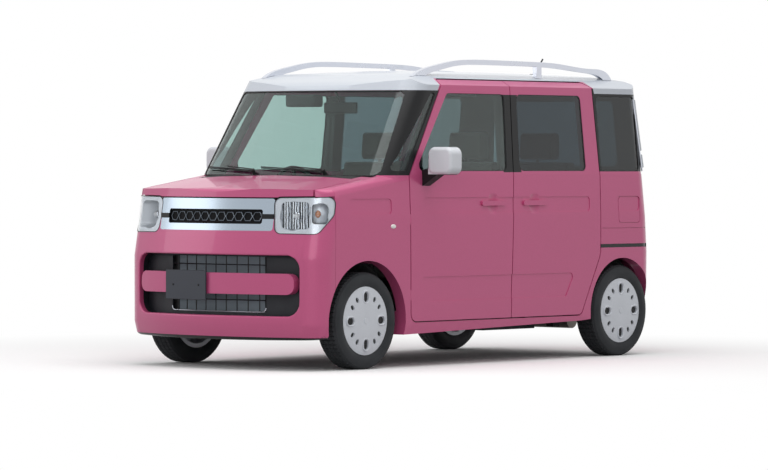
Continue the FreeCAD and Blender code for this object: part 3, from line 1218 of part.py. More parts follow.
# mirrors
MIRROR_IN = 0.5234 * WIDTH
MIRROR_OUT = 0.6454 * WIDTH
MIRROR_FRONT = -0.1891 * LENGTH
MIRROR_BACK = -0.1605 * LENGTH
cap = block((MIRROR_IN, MIRROR_FRONT, 0.6200 * HEIGHT), (MIRROR_OUT, MIRROR_BACK, 0.7100 * HEIGHT))
long_edges = [edge for edge in cap.Edges if edge.BoundBox.YLength > SHEET]
cap = cap.makeFillet(size("mirror_round"), long_edges)
front_edges = [edge for edge in cap.Edges if edge.BoundBox.YMax < MIRROR_FRONT + SEAT]
cap = cap.makeFillet(size("mirror_edge"), front_edges)
MIRROR_FOOT_SHARES = ((0.4820, 0.5800), (0.4820, 0.6330), (0.5600, 0.6480), (0.6050, 0.6480), (0.5700, 0.6200), (0.5000, 0.5850))
foot = prism("XZ", shares_to_points(MIRROR_FOOT_SHARES, WIDTH, HEIGHT), SHEET / 2, -0.1870 * LENGTH, -0.1665 * LENGTH)
mirror = cap.fuse(foot).cut(upper_form(-SEAT, 0)).cut(tower(LOWER_SECTION_SHARES, -SEAT))
mirror = largest(mirror)
keep("mirror_left", mirror)
keep("mirror_right", mirrored(mirror))

# roof rails: an arched bar between two curves, on a middle support
RAIL_SIDE = 0.3878 * WIDTH
RAIL_TOP_SHARES = (
    (-0.1605, 0.9400), (-0.1480, 0.9530), (-0.1000, 0.9770), (-0.0450, 0.9940), (0.0200, 1.0000), (0.1400, 0.9985),
    (0.2600, 0.9930), (0.3500, 0.9800), (0.4050, 0.9620), (0.4159, 0.9400),
)
RAIL_LOW_SHARES = (
    (0.3980, 0.9300), (0.3850, 0.9480), (0.3350, 0.9660), (0.2500, 0.9780), (0.1400, 0.9825), (0.0200, 0.9830),
    (-0.0420, 0.9770), (-0.0900, 0.9610), (-0.1250, 0.9430), (-0.1360, 0.9300),
)


def rail(side):
    """Roof rail on one side."""
    half = size("rail_section") / 2
    near = side * RAIL_SIDE - half
    curves = []
    for table in (RAIL_TOP_SHARES, RAIL_LOW_SHARES):
        curve = Part.BSplineCurve()
        curve.interpolate([Vector(near, a * LENGTH, b * HEIGHT) for a, b in table])
        curves.append(curve)
    top, low = curves
    edges = [
        top.toShape(), Part.LineSegment(top.EndPoint, low.StartPoint).toShape(),
        low.toShape(), Part.LineSegment(low.EndPoint, top.StartPoint).toShape(),
    ]
    bar = Part.Face(Part.Wire(edges)).extrude(Vector(2 * half, 0, 0))
    support = block((near, 0.190 * LENGTH, 0.930 * HEIGHT), (near + 2 * half, 0.205 * LENGTH, 0.985 * HEIGHT))
    return bar.fuse(support)


rails = [largest(rail(side).cut(upper_form(-SEAT, -SEAT))) for side in (-1, 1)]
keep("roof_rails", Part.makeCompound(rails))
ANTENNA_FOOT = size("antenna_foot")
antenna_place = Vector(0, 0.40 * LENGTH, 0.945 * HEIGHT)
antenna = rod(antenna_place, antenna_place + Vector(0, 0.035 * LENGTH, 0.075 * HEIGHT), size("antenna_radius")).fuse(
    Part.makeCone(ANTENNA_FOOT, 0.45 * ANTENNA_FOOT, 1.8 * ANTENNA_FOOT, antenna_place, Vector(0, 0, 1)))
keep("antenna", largest(antenna.cut(upper_form(-SEAT, -SEAT))))

doc.recompute()
for made in doc.Objects:
    if any(word in ("Invalid", "Error") for word in made.State):
        raise ValueError(f"{made.Name} did not build: {made.State}")
for made in sub_parts:
    shape = made.Shape
    if shape.isNull() or not shape.isValid() or not shape.Solids:
        raise ValueError(f"{made.Label} has no sound solid")
    print(made.Label, [round(solid.Volume / 1e3, 1) for solid in shape.Solids])
os.makedirs("parts", exist_ok=True)
for made in sub_parts:
    made.Shape.exportStep(f"parts/{made.Label}.step")
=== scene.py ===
"""Dresses the tall kei wagon: paint, glass, lamps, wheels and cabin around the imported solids.

Metres. The car faces -Y, its left side is +X and the ground is at zero height.
"""

from __future__ import annotations

import json
import logging
import math
from contextlib import contextmanager
from dataclasses import dataclass
from enum import Enum
from typing import Iterable, Iterator

import bpy
from mathutils import Matrix, Vector

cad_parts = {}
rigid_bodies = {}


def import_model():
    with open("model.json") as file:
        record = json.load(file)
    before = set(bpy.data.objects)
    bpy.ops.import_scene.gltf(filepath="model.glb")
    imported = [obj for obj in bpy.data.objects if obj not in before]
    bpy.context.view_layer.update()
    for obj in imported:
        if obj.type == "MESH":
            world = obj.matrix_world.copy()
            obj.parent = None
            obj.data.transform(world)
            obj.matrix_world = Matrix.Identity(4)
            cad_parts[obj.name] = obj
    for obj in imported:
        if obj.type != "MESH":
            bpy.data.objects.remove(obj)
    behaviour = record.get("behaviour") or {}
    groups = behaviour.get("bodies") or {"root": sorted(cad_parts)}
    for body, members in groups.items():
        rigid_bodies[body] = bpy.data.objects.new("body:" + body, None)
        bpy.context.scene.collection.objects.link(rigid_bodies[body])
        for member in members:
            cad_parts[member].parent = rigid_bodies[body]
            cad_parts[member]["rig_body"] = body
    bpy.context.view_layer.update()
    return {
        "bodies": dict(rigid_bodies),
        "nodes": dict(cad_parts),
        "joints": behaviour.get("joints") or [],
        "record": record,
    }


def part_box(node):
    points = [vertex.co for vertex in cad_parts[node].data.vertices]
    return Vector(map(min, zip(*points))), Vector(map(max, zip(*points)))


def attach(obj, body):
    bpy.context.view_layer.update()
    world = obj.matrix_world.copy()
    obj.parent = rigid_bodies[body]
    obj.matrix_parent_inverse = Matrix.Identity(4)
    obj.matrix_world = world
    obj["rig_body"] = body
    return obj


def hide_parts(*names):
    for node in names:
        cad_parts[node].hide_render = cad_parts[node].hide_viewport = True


LOG = logging.getLogger("wagon")
MILLIMETRE = 0.001
WHITE = (1.0, 1.0, 1.0, 1.0)
# Scale of a wave texture whose bands lie one metre apart.
BANDS = 0.314
COAT_ROUGHNESS = 0.03
# Radius of the nose's and the windscreen's bow across the car.
BOW = 1.969
Point = tuple[float, float, float]
Span = tuple[float, float]
Colour = tuple[float, float, float, float]
Piece = bpy.types.Object
Tree = bpy.types.NodeTree
Node = bpy.types.Node
Socket = bpy.types.NodeSocket


class Side(Enum):
    """Left or right side of the car, as the sign of X."""

    LEFT = 1
    RIGHT = -1

    @property
    def word(self) -> str:
        """The side's name as the nodes spell it."""
        return self.name.lower()


def linear(code: str) -> Colour:
    """Turns an sRGB hex colour into linear values.

    Args:
        code: Six hex digits.

    Returns:
        Red, green, blue and full alpha.
    """
    shares = [int(code[index : index + 2], 16) / 255 for index in (0, 2, 4)]
    curved = [c / 12.92 if c <= 0.04045 else ((c + 0.055) / 1.055) ** 2.4 for c in shares]
    return curved[0], curved[1], curved[2], 1.0


def grey(level: float) -> Colour:
    """One linear value for all three colours, with full alpha."""
    return level, level, level, 1.0


def add_node(
    tree: Tree, kind: str, values: dict | None = None, links: dict | None = None, **settings: str
) -> Node:
    """Adds one shader node with its settings, socket values and incoming links.

    Args:
        tree: Node tree that gets the node.
        kind: Node type name.
        values: Socket names or numbers with their values.
        links: Socket names or numbers with the output that feeds each.
        **settings: Attributes of the node.

    Returns:
        The new node.
    """
    made = tree.nodes.new(kind)
    for name, value in settings.items():
        setattr(made, name, value)
    for socket, value in (values or {}).items():
        made.inputs[socket].default_value = value
    for socket, source in (links or {}).items():
        tree.links.new(source, made.inputs[socket])
    return made


@dataclass(frozen=True)
class Zone:
    """Box in the car's frame."""

    low: Point
    high: Point


@dataclass(frozen=True)
class Roll:
    """Wide rounding of a panel's outer edges inside a box, counted outward from a middle."""

    zone: Zone
    width: float
    centre: Point
    rows: int = 5
    sharp: float = 25.0
    facing: float = 0.55


@dataclass(frozen=True)
class Finish:
    """A surface: its colour, gloss and fine structure, with a second colour inside its zones.

    The blotches that vary the gloss are given as their number in a metre and their detail, and the
    gloss as the least and greatest share of the roughness.
    """

    title: str
    colour: str
    roughness: float = 0.5
    metallic: float = 0.0
    coat: float = 0.0
    transmission: float = 0.0
    ior: float = 1.5
    specular: float = 0.5
    zones: tuple[Zone, ...] = ()
    zone_colour: str = "0C0D10"
    zone_roughness: float = 0.25
    blotch: Span = (6.0, 3.0)
    gloss: Span = (0.85, 1.2)

    def build(self) -> bpy.types.Material:
        """Makes the material once and returns it.

        Returns:
            The finished material.
        """
        known = bpy.data.materials.get(self.title)
        if known is not None:
            return known
        material = bpy.data.materials.new(self.title)
        material.use_nodes = True
        tree = material.node_tree
        shader = tree.nodes["Principled BSDF"]
        for socket, value in (
            ("Base Color", linear(self.colour)), ("Roughness", self.roughness), ("Metallic", self.metallic),
            ("Coat Weight", self.coat), ("Coat Roughness", COAT_ROUGHNESS), ("IOR", self.ior),
            ("Transmission Weight", self.transmission), ("Specular IOR Level", self.specular),
        ):
            shader.inputs[socket].default_value = value
        place = add_node(tree, "ShaderNodeTexCoord").outputs["Object"]
        self.texture(tree, shader, place)
        if self.zones:
            self.paint_zones(tree, shader, place)
        return material

    def texture(self, tree: Tree, shader: Node, place: Socket) -> None:
        """Adds the finish's fine structure; plain finishes vary a little in gloss."""
        self.wear(tree, shader, place)

    def wear(self, tree: Tree, shader: Node, place: Socket) -> None:
        """Varies the gloss in slow blotches.

        Args:
            tree: Node tree of the material.
            shader: Its principled shader.
            place: Output with the point's place on the object.
        """
        noise = {"Scale": self.blotch[0], "Detail": self.blotch[1]}
        blotch = add_node(tree, "ShaderNodeTexNoise", noise, {"Vector": place})
        low, high = [min(1.0, self.roughness * share) for share in self.gloss]
        shares = {"To Min": low, "To Max": high}
        gloss = add_node(tree, "ShaderNodeMapRange", shares, {"Value": blotch.outputs["Fac"]})
        tree.links.new(gloss.outputs[0], shader.inputs["Roughness"])

    def tint(self, tree: Tree, shader: Node, pattern: Socket, shares: Span) -> None:
        """Lets a pattern darken and lighten the colour.

        Args:
            tree: Node tree of the material.
            shader: Its principled shader.
            pattern: Output that carries the pattern.
            shares: Least and greatest brightness.
        """
        tone = add_node(
            tree, "ShaderNodeMapRange", {"To Min": shares[0], "To Max": shares[1]}, {"Value": pattern}
        )
        shade = add_node(
            tree, "ShaderNodeHueSaturation", {"Color": linear(self.colour)}, {"Value": tone.outputs[0]}
        )
        tree.links.new(shade.outputs[0], shader.inputs["Base Color"])

    def paint_zones(self, tree: Tree, shader: Node, place: Socket) -> None:
        """Shows the second colour inside the zones.

        Args:
            tree: Node tree of the material.
            shader: Its principled shader.
            place: Output with the point's place on the object.
        """
        axes = add_node(tree, "ShaderNodeSeparateXYZ", links={"Vector": place})
        total = None
        for zone in self.zones:
            inside = None
            for axis, (low, high) in enumerate(zip(zone.low, zone.high)):
                span = {1: (low + high) / 2, 2: (high - low) / 2}
                hit = add_node(tree, "ShaderNodeMath", span, {0: axes.outputs[axis]}, operation="COMPARE")
                if inside is not None:
                    both = {0: hit.outputs[0], 1: inside.outputs[0]}
                    hit = add_node(tree, "ShaderNodeMath", links=both, operation="MULTIPLY")
                inside = hit
            if total is not None:
                both = {0: inside.outputs[0], 1: total.outputs[0]}
                inside = add_node(tree, "ShaderNodeMath", links=both, operation="MAXIMUM")
            total = inside
        for socket, first, second in (
            ("Base Color", linear(self.colour), linear(self.zone_colour)),
            ("Roughness", grey(self.roughness), grey(self.zone_roughness)),
            ("Metallic", grey(self.metallic), grey(0.0)),
            ("Coat Weight", grey(self.coat), grey(0.0)),
        ):
            mix = add_node(
                tree, "ShaderNodeMix", {6: first, 7: second}, {0: total.outputs[0]}, data_type="RGBA"
            )
            feeding = [link for link in tree.links if link.to_socket == shader.inputs[socket]]
            if feeding:
                tree.links.new(feeding[0].from_socket, mix.inputs[6])
            tree.links.new(mix.outputs[2], shader.inputs[socket])


@dataclass(frozen=True)
class Paint(Finish):
    """Two-coat sprayed metallic enamel: fine flakes and a faint orange peel under a clear coat."""

    specular: float = 0.3
    flake: float = 0.35 * MILLIMETRE
    coarser: float = 4.0
    tone: Span = (0.93, 1.09)
    peel: float = 6.0 * MILLIMETRE
    peel_depth: float = 0.4 * MILLIMETRE
    peel_strength: float = 0.04

    def texture(self, tree: Tree, shader: Node, place: Socket) -> None:
        """Adds flakes, drawn four times as coarse as real so that they show, and orange peel.

        Args:
            tree: Node tree of the material.
            shader: Its principled shader.
            place: Output with the point's place on the object.
        """
        cells = {"Scale": 1 / (self.coarser * self.flake)}
        flakes = add_node(tree, "ShaderNodeTexVoronoi", cells, {"Vector": place})
        self.tint(tree, shader, flakes.outputs["Color"], self.tone)
        noise = {"Scale": 1 / self.peel, "Detail": 1.0}
        waves = add_node(tree, "ShaderNodeTexNoise", noise, {"Vector": place})
        depth = {"Strength": self.peel_strength, "Distance": self.peel_depth}
        relief = add_node(tree, "ShaderNodeBump", depth, {"Height": waves.outputs["Fac"]})
        tree.links.new(relief.outputs["Normal"], shader.inputs["Normal"])


@dataclass(frozen=True)
class Grained(Finish):
    """Moulded, cast or sprayed surface with an etched grain that breaks its gloss."""

    grain: float = 1.2 * MILLIMETRE
    grain_depth: float = 0.4 * MILLIMETRE
    depth: float = 0.35
    blotch: Span = (9.0, 4.0)
    gloss: Span = (0.8, 1.25)

    def texture(self, tree: Tree, shader: Node, place: Socket) -> None:
        """Adds the grain and its worn gloss.

        Args:
            tree: Node tree of the material.
            shader: Its principled shader.
            place: Output with the point's place on the object.
        """
        cells = add_node(
            tree, "ShaderNodeTexVoronoi", {"Scale": 1 / self.grain}, {"Vector": place}, feature="SMOOTH_F1"
        )
        depth = {"Strength": self.depth, "Distance": self.grain_depth}
        relief = add_node(tree, "ShaderNodeBump", depth, {"Height": cells.outputs["Distance"]})
        tree.links.new(relief.outputs["Normal"], shader.inputs["Normal"])
        self.wear(tree, shader, place)


@dataclass(frozen=True)
class Woven(Finish):
    """Woven polyester cloth: crossed threads with a soft sheen, drawn coarse enough to show."""

    thread: float = 3.768 * MILLIMETRE
    thread_depth: float = 0.8 * MILLIMETRE
    depth: float = 0.5
    stray: float = 0.4
    dye: Span = (40.0, 5.0)
    tone: Span = (0.8, 1.2)
    sheen: float = 0.4

    def texture(self, tree: Tree, shader: Node, place: Socket) -> None:
        """Adds warp and weft threads and a mottled dye.

        Args:
            tree: Node tree of the material.
            shader: Its principled shader.
            place: Output with the point's place on the object.
        """
        threads = {"Scale": BANDS / self.thread, "Distortion": self.stray}
        warp, weft = [
            add_node(tree, "ShaderNodeTexWave", threads, {"Vector": place}, bands_direction=direction)
            for direction in ("X", "Z")
        ]
        both = {0: warp.outputs["Fac"], 1: weft.outputs["Fac"]}
        crossed = add_node(tree, "ShaderNodeMath", links=both, operation="MULTIPLY")
        depth = {"Strength": self.depth, "Distance": self.thread_depth}
        relief = add_node(tree, "ShaderNodeBump", depth, {"Height": crossed.outputs[0]})
        tree.links.new(relief.outputs["Normal"], shader.inputs["Normal"])
        noise = {"Scale": self.dye[0], "Detail": self.dye[1]}
        dye = add_node(tree, "ShaderNodeTexNoise", noise, {"Vector": place})
        self.tint(tree, shader, dye.outputs["Fac"], self.tone)
        shader.inputs["Sheen Weight"].default_value = self.sheen


@dataclass(frozen=True)
class Ribbed(Finish):
    """Pressed or moulded surface with close parallel fins or optics."""

    pitch: float = 3.0 * MILLIMETRE
    along: str = "X"
    rib_depth: float = 1.0 * MILLIMETRE
    depth: float = 0.6

    def texture(self, tree: Tree, shader: Node, place: Socket) -> None:
        """Adds the parallel ribs.

        Args:
            tree: Node tree of the material.
            shader: Its principled shader.
            place: Output with the point's place on the object.
        """
        ribs = add_node(
            tree, "ShaderNodeTexWave", {"Scale": BANDS / self.pitch}, {"Vector": place},
            bands_direction=self.along,
        )
        depth = {"Strength": self.depth, "Distance": self.rib_depth}
        relief = add_node(tree, "ShaderNodeBump", depth, {"Height": ribs.outputs["Fac"]})
        tree.links.new(relief.outputs["Normal"], shader.inputs["Normal"])


@dataclass(frozen=True)
class Fluted(Finish):
    """Vacuum-metallised reflector with painted reflections: the light and dark that its facets would mirror,
    shown as streaks of colour.
    """

    # Colour of the painted dark reflections between the bright streaks.
    dark: str = "3E434B"
    pitch: float = 12.0 * MILLIMETRE
    stray: float = 2.0
    change: Span = (0.1, 0.8)

    def texture(self, tree: Tree, shader: Node, place: Socket) -> None:
        """Adds bright and dark streaks as wide as the reflector's facets.

        Args:
            tree: Node tree of the material.
            shader: Its principled shader.
            place: Output with the point's place on the object.
        """
        facets = {"Scale": BANDS / self.pitch, "Distortion": self.stray, "Detail": 1.0}
        bands = add_node(tree, "ShaderNodeTexWave", facets, {"Vector": place}, bands_direction="X")
        ends = {"From Min": self.change[0], "From Max": self.change[1]}
        sharp = add_node(tree, "ShaderNodeMapRange", ends, {"Value": bands.outputs["Fac"]})
        mix = add_node(
            tree, "ShaderNodeMix", {6: linear(self.dark), 7: linear(self.colour)}, {0: sharp.outputs[0]},
            data_type="RGBA",
        )
        tree.links.new(mix.outputs[2], shader.inputs["Base Color"])


# Beyond the car, for zones that run right through it.
BEHIND = 9.0
ROSE = "C65584"
A_PILLAR = Zone((-BEHIND, -1.10, 1.1125), (BEHIND, -0.34, 1.612))
B_PILLAR = Zone((-BEHIND, 0.142, 1.130), (BEHIND, 0.316, 1.592))
D_PILLAR = Zone((-BEHIND, 1.05, 1.134), (BEHIND, 1.80, 1.640))
MIRROR_FOOT = Zone((-BEHIND, -BEHIND, 0.9), (BEHIND, BEHIND, 1.119))
MIRROR_ARM = Zone((-0.775, -BEHIND, 0.9), (0.775, BEHIND, 1.170))
REAR_GLASS = Zone((-BEHIND, 0.25, 0.0), (BEHIND, BEHIND, 2.0))
LOW_LIP = Zone((-BEHIND, -BEHIND, 0.0), (BEHIND, -1.40, 0.190))
# Black strip of painted shade where the sliding doors' rail runs in its slot.
RAIL_SLOT_SHADE = Zone((-BEHIND, 1.10, 0.668), (BEHIND, 1.60, 0.690))
REAR_FACE = Zone((-BEHIND, 1.585, 0.0), (BEHIND, BEHIND, 2.0))

# Metallic rose enamel: a deep shine with fine sparkle; black foil on pillars and low lip, and painted shade
# in the slide rail's slot.
BODY_PAINT = Paint(
    "sprayed_rose_enamel", ROSE, 0.34, 0.12, 0.4, zones=(A_PILLAR, B_PILLAR, D_PILLAR, RAIL_SLOT_SHADE, LOW_LIP)
)
# The same enamel on the doors, with black foil on the window posts alone.
DOOR_PAINT = Paint("sprayed_rose_door_enamel", ROSE, 0.34, 0.12, 0.4, zones=(B_PILLAR,))
# White enamel: a clean, faintly blue white with a clear shine.
ROOF_PAINT = Paint("sprayed_white_enamel", "C4CAD3", 0.30, 0.0, 0.4)
# White enamel caps on a foot of duller black plastic.
MIRROR_PAINT = Paint(
    "sprayed_white_mirror", "DDE0E6", 0.30, 0.0, 0.4, zones=(MIRROR_FOOT, MIRROR_ARM), zone_roughness=0.55
)
# Laminated float glass: clear with a green cast, and smoked behind the front doors.
CLEAR_GLASS = Finish(
    "laminated_green_glass", "C2D8D4", 0.01, transmission=1.0, ior=1.45,
    zones=(REAR_GLASS,), zone_colour="56656A", zone_roughness=0.01,
)
# Body-tinted float glass: dark blue grey that still shows shapes behind it.
PRIVACY_GLASS = Finish("smoked_privacy_glass", "5A6B73", 0.01, transmission=1.0, ior=1.45)
# Injection-moulded polycarbonate: nearly unseen, with bright edges.
LAMP_GLASS = Finish("clear_lamp_polycarbonate", "F6F8FA", 0.02, transmission=1.0, ior=1.3)
# Nickel-chrome plating: its soft blue grey is a painted reflection of its surroundings.
CHROME = Finish("plated_chrome", "A2AEBA", 0.20, 1.0)
# Metal vapour on moulded flutes, with painted reflections: streaks of light and dark.
LAMP_CHROME = Fluted("vaporised_reflector", "EEF2F6", 0.12, 1.0)
# Aluminised and lacquered moulding: pale satin silver.
LAMP_BEZEL = Finish("aluminised_bezel", "CDD2D8", 0.30, 0.45, 0.5)
# Anodised aluminium: even satin silver with a soft glint.
SATIN_SILVER = Finish("satin_anodised_rail", "D4D8E2", 0.28, 0.75, 0.5)
# Silver paint on moulded nylon: pale grey with fine sparkle.
COVER_SILVER = Paint("silver_painted_cover", "D4D8DF", 0.32, 0.10, 0.3)
# Etched polypropylene: dull blue black with a fine grain; its blue cast is a painted reflection.
BLACK_PLASTIC = Grained("grained_black_polypropylene", "11151D", 0.6)
# Deep-set black moulding, painted darker than its own black as shade: takes up nearly all light.
SHADOWED_BLACK = Finish("shadowed_black_moulding", "060709", 0.7, specular=0.15)
# Polished black ABS: dark with sharp glints.
GLOSS_BLACK = Finish("gloss_black_moulding", "0B0D11", 0.30, specular=0.3)
# Sprayed stone guard: coarse matt black.
UNDERBODY = Grained("stone_guard_coating", "17181A", 0.8, grain=3.0 * MILLIMETRE)
# Folded aluminium fins: dull grey with close lines.
RADIATOR = Ribbed("finned_aluminium", "727C84", 0.5, 0.5, pitch=4.0 * MILLIMETRE)
# Sand-cast aluminium: rough grey metal.
CAST_METAL = Grained("sand_cast_aluminium", "7C7F84", 0.55, 0.9, grain=2.0 * MILLIMETRE)
# Rolled steel with a brown bloom from heat.
EXHAUST = Finish("oxidised_steel", "6B6560", 0.45, 0.9)
# Slush-moulded vinyl: soft, matt dark grey.
DASH = Grained("moulded_dash", "3A3B3E", 0.6)
# Woven polyester: brown-grey threads with a soft sheen.
SEAT_CLOTH = Woven("woven_seat_cloth", "57504C", 0.9)
# Vulcanised rubber: matt black with a dusty bloom.
TYRE = Grained("black_tyre_rubber", "1D2024", 0.75, grain=0.8 * MILLIMETRE, depth=0.2)
# Moulded red acrylic: deep, clear red.
TAIL_RED = Finish("moulded_red_lens", "A3121C", 0.08, coat=1.0, transmission=0.3)
# Moulded amber acrylic: warm, glossy orange.
AMBER = Finish("moulded_amber_lens", "E07A18", 0.1, coat=1.0)
# Blown glass: clear and bright.
BULB = Finish("bulb_glass", "F4F6F8", 0.05, transmission=0.4)
# Anodised aluminium dyed dark: an even blue black.
PLATE = Finish("anodised_dark_plate", "1B2130", 0.35)
# Extruded rubber: soft black with a faint shine.
RUBBER = Finish("extruded_black_rubber", "0B0C0E", 0.6)
# Silvered float glass: a clean mirror.
MIRROR_GLASS = Finish("silvered_mirror_glass", "C9D0D6", 0.03, 1.0)
# Smoked chrome plating: dark, bright-edged metal.
DARK_CHROME = Finish("dark_plated_ribs", "5A6068", 0.25, 0.9)
# Moulded lens with close optics: silvery at the side and red where it turns to the rear.
TAIL_LENS = Ribbed(
    "ribbed_tail_lens", "C3C8CE", 0.14, coat=0.6, zones=(REAR_FACE,), zone_colour="A3121C",
    zone_roughness=0.12, pitch=6.0 * MILLIMETRE, along="Z",
)
# Frosted acrylic: milky white.
MARKER = Finish("frosted_marker_lens", "F2F0EC", 0.2, coat=1.0)


class Bench:
    """Shapes pieces with Blender's own operators."""

    # Distances under which doubles merge: in a new piece, in a copied node and in a seal's line.
    MERGE = 0.01 * MILLIMETRE
    CAD_MERGE = 0.02 * MILLIMETRE
    LINE_MERGE = 0.4 * MILLIMETRE
    FLAT = math.radians(0.4)
    BEAD_ANGLE = math.radians(50)
    # Least share of a face's direction that counts it as a pane's outer one.
    OUTER = 0.55
    WEIGHT = 80

    @staticmethod
    def clear() -> None:
        """Deselects everything."""
        bpy.ops.object.select_all(action="DESELECT")

    @classmethod
    def pick(cls, *pieces: Piece) -> Piece:
        """Selects pieces, makes the first one active and returns it.

        Args:
            *pieces: Objects to select.

        Returns:
            The active piece.
        """
        cls.clear()
        for piece in pieces:
            piece.select_set(True)
        bpy.context.view_layer.objects.active = pieces[0]
        return pieces[0]

    @staticmethod
    @contextmanager
    def editing(action: str = "") -> Iterator[None]:
        """Holds the active piece in edit mode.

        Args:
            action: SELECT for everything first; the selection stays if empty.
        """
        bpy.ops.object.mode_set(mode="EDIT")
        if action:
            bpy.ops.mesh.select_all(action=action)
        yield
        bpy.ops.object.mode_set(mode="OBJECT")

    @staticmethod
    def unselect(kind: str) -> None:
        """Leaves nothing of the active piece's mesh selected.

        Args:
            kind: Element that selection then works on.
        """
        bpy.ops.object.mode_set(mode="EDIT")
        bpy.ops.mesh.select_mode(type=kind)
        bpy.ops.mesh.select_all(action="DESELECT")
        bpy.ops.object.mode_set(mode="OBJECT")

    @staticmethod
    def fixed() -> Piece:
        """Writes the active piece's place into its mesh and returns it."""
        bpy.ops.object.transform_apply(location=True, rotation=True, scale=True)
        return bpy.context.object

    @classmethod
    def settle(cls, piece: Piece, name: str, finish: Finish) -> Piece:
        """Writes a piece's place into its mesh, names it and dresses it.

        Args:
            piece: The shaped piece.
            name: Its name.
            finish: Its surface.

        Returns:
            The piece.
        """
        cls.pick(piece)
        cls.fixed()
        piece.name = name
        piece.data.materials.clear()
        piece.data.materials.append(finish.build())
        return piece

    @classmethod
    def box(cls, low: Iterable[float], high: Iterable[float]) -> Piece:
        """Adds a box between its lowest and its highest corner.

        Args:
            low: Lowest corner.
            high: Highest corner.

        Returns:
            The box.
        """
        cls.clear()
        low, high = Vector(low), Vector(high)
        bpy.ops.mesh.primitive_cube_add(size=1, location=(low + high) / 2, scale=high - low)
        return cls.fixed()

    @classmethod
    def bar(cls, start: Iterable[float], end: Iterable[float], radius: float, sides: int = 24) -> Piece:
        """Adds a round bar between two points.

        Args:
            start: First end.
            end: Second end.
            radius: Bar radius.
            sides: Number of flats.

        Returns:
            The bar.
        """
        cls.clear()
        start, end = Vector(start), Vector(end)
        along = end - start
        bpy.ops.mesh.primitive_cylinder_add(
            vertices=sides, radius=radius, depth=along.length, location=(start + end) / 2,
            rotation=along.to_track_quat("Z", "Y").to_euler(),
        )
        return cls.fixed()

    @classmethod
    def ball(cls, centre: Iterable[float], radii: Iterable[float], sides: int = 20) -> Piece:
        """Adds a smooth ellipsoid.

        Args:
            centre: Middle.
            radii: Half sizes along X, Y and Z.
            sides: Segments round it.

        Returns:
            The ellipsoid.
        """
        cls.clear()
        bpy.ops.mesh.primitive_uv_sphere_add(
            segments=sides, ring_count=sides // 2, radius=1, location=Vector(centre)
        )
        bpy.context.object.scale = Vector(radii)
        made = cls.fixed()
        bpy.ops.object.shade_smooth()
        return made

    @classmethod
    def flat(cls, points: list[Vector], fill: str = "NGON") -> Piece:
        """Adds an outline through points.

        Args:
            points: Corner points in order.
            fill: Whether a face fills it, as the circle operator spells it.

        Returns:
            The outline.
        """
        cls.clear()
        bpy.ops.mesh.primitive_circle_add(vertices=len(points), radius=1, fill_type=fill)
        made = bpy.context.object
        for vertex, point in zip(made.data.vertices, points):
            vertex.co = point
        return made

    @classmethod
    def extruded(cls, outline: list[Vector], along: Vector) -> Piece:
        """Extrudes a flat outline into a solid.

        Args:
            outline: Corner points in order.
            along: Extrusion.

        Returns:
            The solid.
        """
        made = cls.flat(outline)
        with cls.editing("SELECT"):
            bpy.ops.mesh.extrude_region_move(TRANSFORM_OT_translate={"value": along})
        cls.outward(made)
        return made

    @classmethod
    def lofted(cls, sections: list[list[Vector]]) -> Piece:
        """Skins a closed solid through sections, one extrusion for each.

        Args:
            sections: Outlines with the same number of points.

        Returns:
            The solid.
        """
        made = cls.flat(sections[0])
        action = "SELECT"
        for before, after in zip(sections, sections[1:]):
            with cls.editing(action):
                bpy.ops.mesh.extrude_region_move(TRANSFORM_OT_translate={"value": (0, 0, 0)})
            for vertex in made.data.vertices:
                if vertex.select:
                    nearest = min(range(len(before)), key=lambda index: (before[index] - vertex.co).length)
                    vertex.co = after[nearest]
            action = ""
        cls.outward(made)
        return made

    @classmethod
    def roll(cls, piece: Piece, roll: Roll) -> None:
        """Rolls the outer sharp edges of a piece inside a box.

        Args:
            piece: Piece to shape.
            roll: Where, how wide and from which middle outward is counted.
        """
        normals: dict[tuple[int, int], list[Vector]] = {}
        for face in piece.data.polygons:
            for key in face.edge_keys:
                normals.setdefault(key, []).append(face.normal.copy())
        cls.pick(piece)
        cls.unselect("EDGE")
        chosen = 0
        for edge in piece.data.edges:
            faces = normals.get(edge.key, [])
            ends = [piece.data.vertices[index].co for index in edge.vertices]
            middle = (ends[0] + ends[1]) / 2
            inside = all(
                low <= part <= high for low, part, high in zip(roll.zone.low, middle, roll.zone.high)
            )
            if len(faces) != 2 or not inside or faces[0].angle(faces[1], 0.0) < math.radians(roll.sharp):
                continue
            outward = (middle - Vector(roll.centre)).normalized()
            edge.select = max(faces[0].dot(outward), faces[1].dot(outward)) > roll.facing
            chosen += edge.select
        with cls.editing():
            if chosen:
                bpy.ops.mesh.bevel(
                    offset=roll.width, segments=roll.rows, affect="EDGES", clamp_overlap=False
                )

    @classmethod
    def tube(cls, points: list[Vector], radius: float, closed: bool = False) -> Piece:
        """Draws a round bead through points.

        Args:
            points: Points of its middle line.
            radius: Bead radius.
            closed: Whether it runs back to its start.

        Returns:
            The bead as a mesh.
        """
        data = bpy.data.curves.new("bead", "CURVE")
        data.dimensions = "3D"
        line = data.splines.new("POLY")
        line.points.add(len(points) - 1)
        for knot, point in zip(line.points, points):
            knot.co = (*point, 1.0)
        line.use_cyclic_u = closed
        data.use_fill_caps = not closed
        made = bpy.data.objects.new("bead", data)
        bpy.context.scene.collection.objects.link(made)
        return cls.bead(cls.pick(made), radius)

    @classmethod
    def bead(cls, line: Piece, radius: float) -> Piece:
        """Gives the active curve a round section and makes it a mesh.

        Args:
            line: The curve.
            radius: Bead radius.

        Returns:
            The bead as a mesh.
        """
        line.data.bevel_depth = radius
        line.data.bevel_resolution = 1
        bpy.ops.object.convert(target="MESH")
        bpy.ops.object.shade_smooth_by_angle(angle=cls.BEAD_ANGLE)
        return bpy.context.object

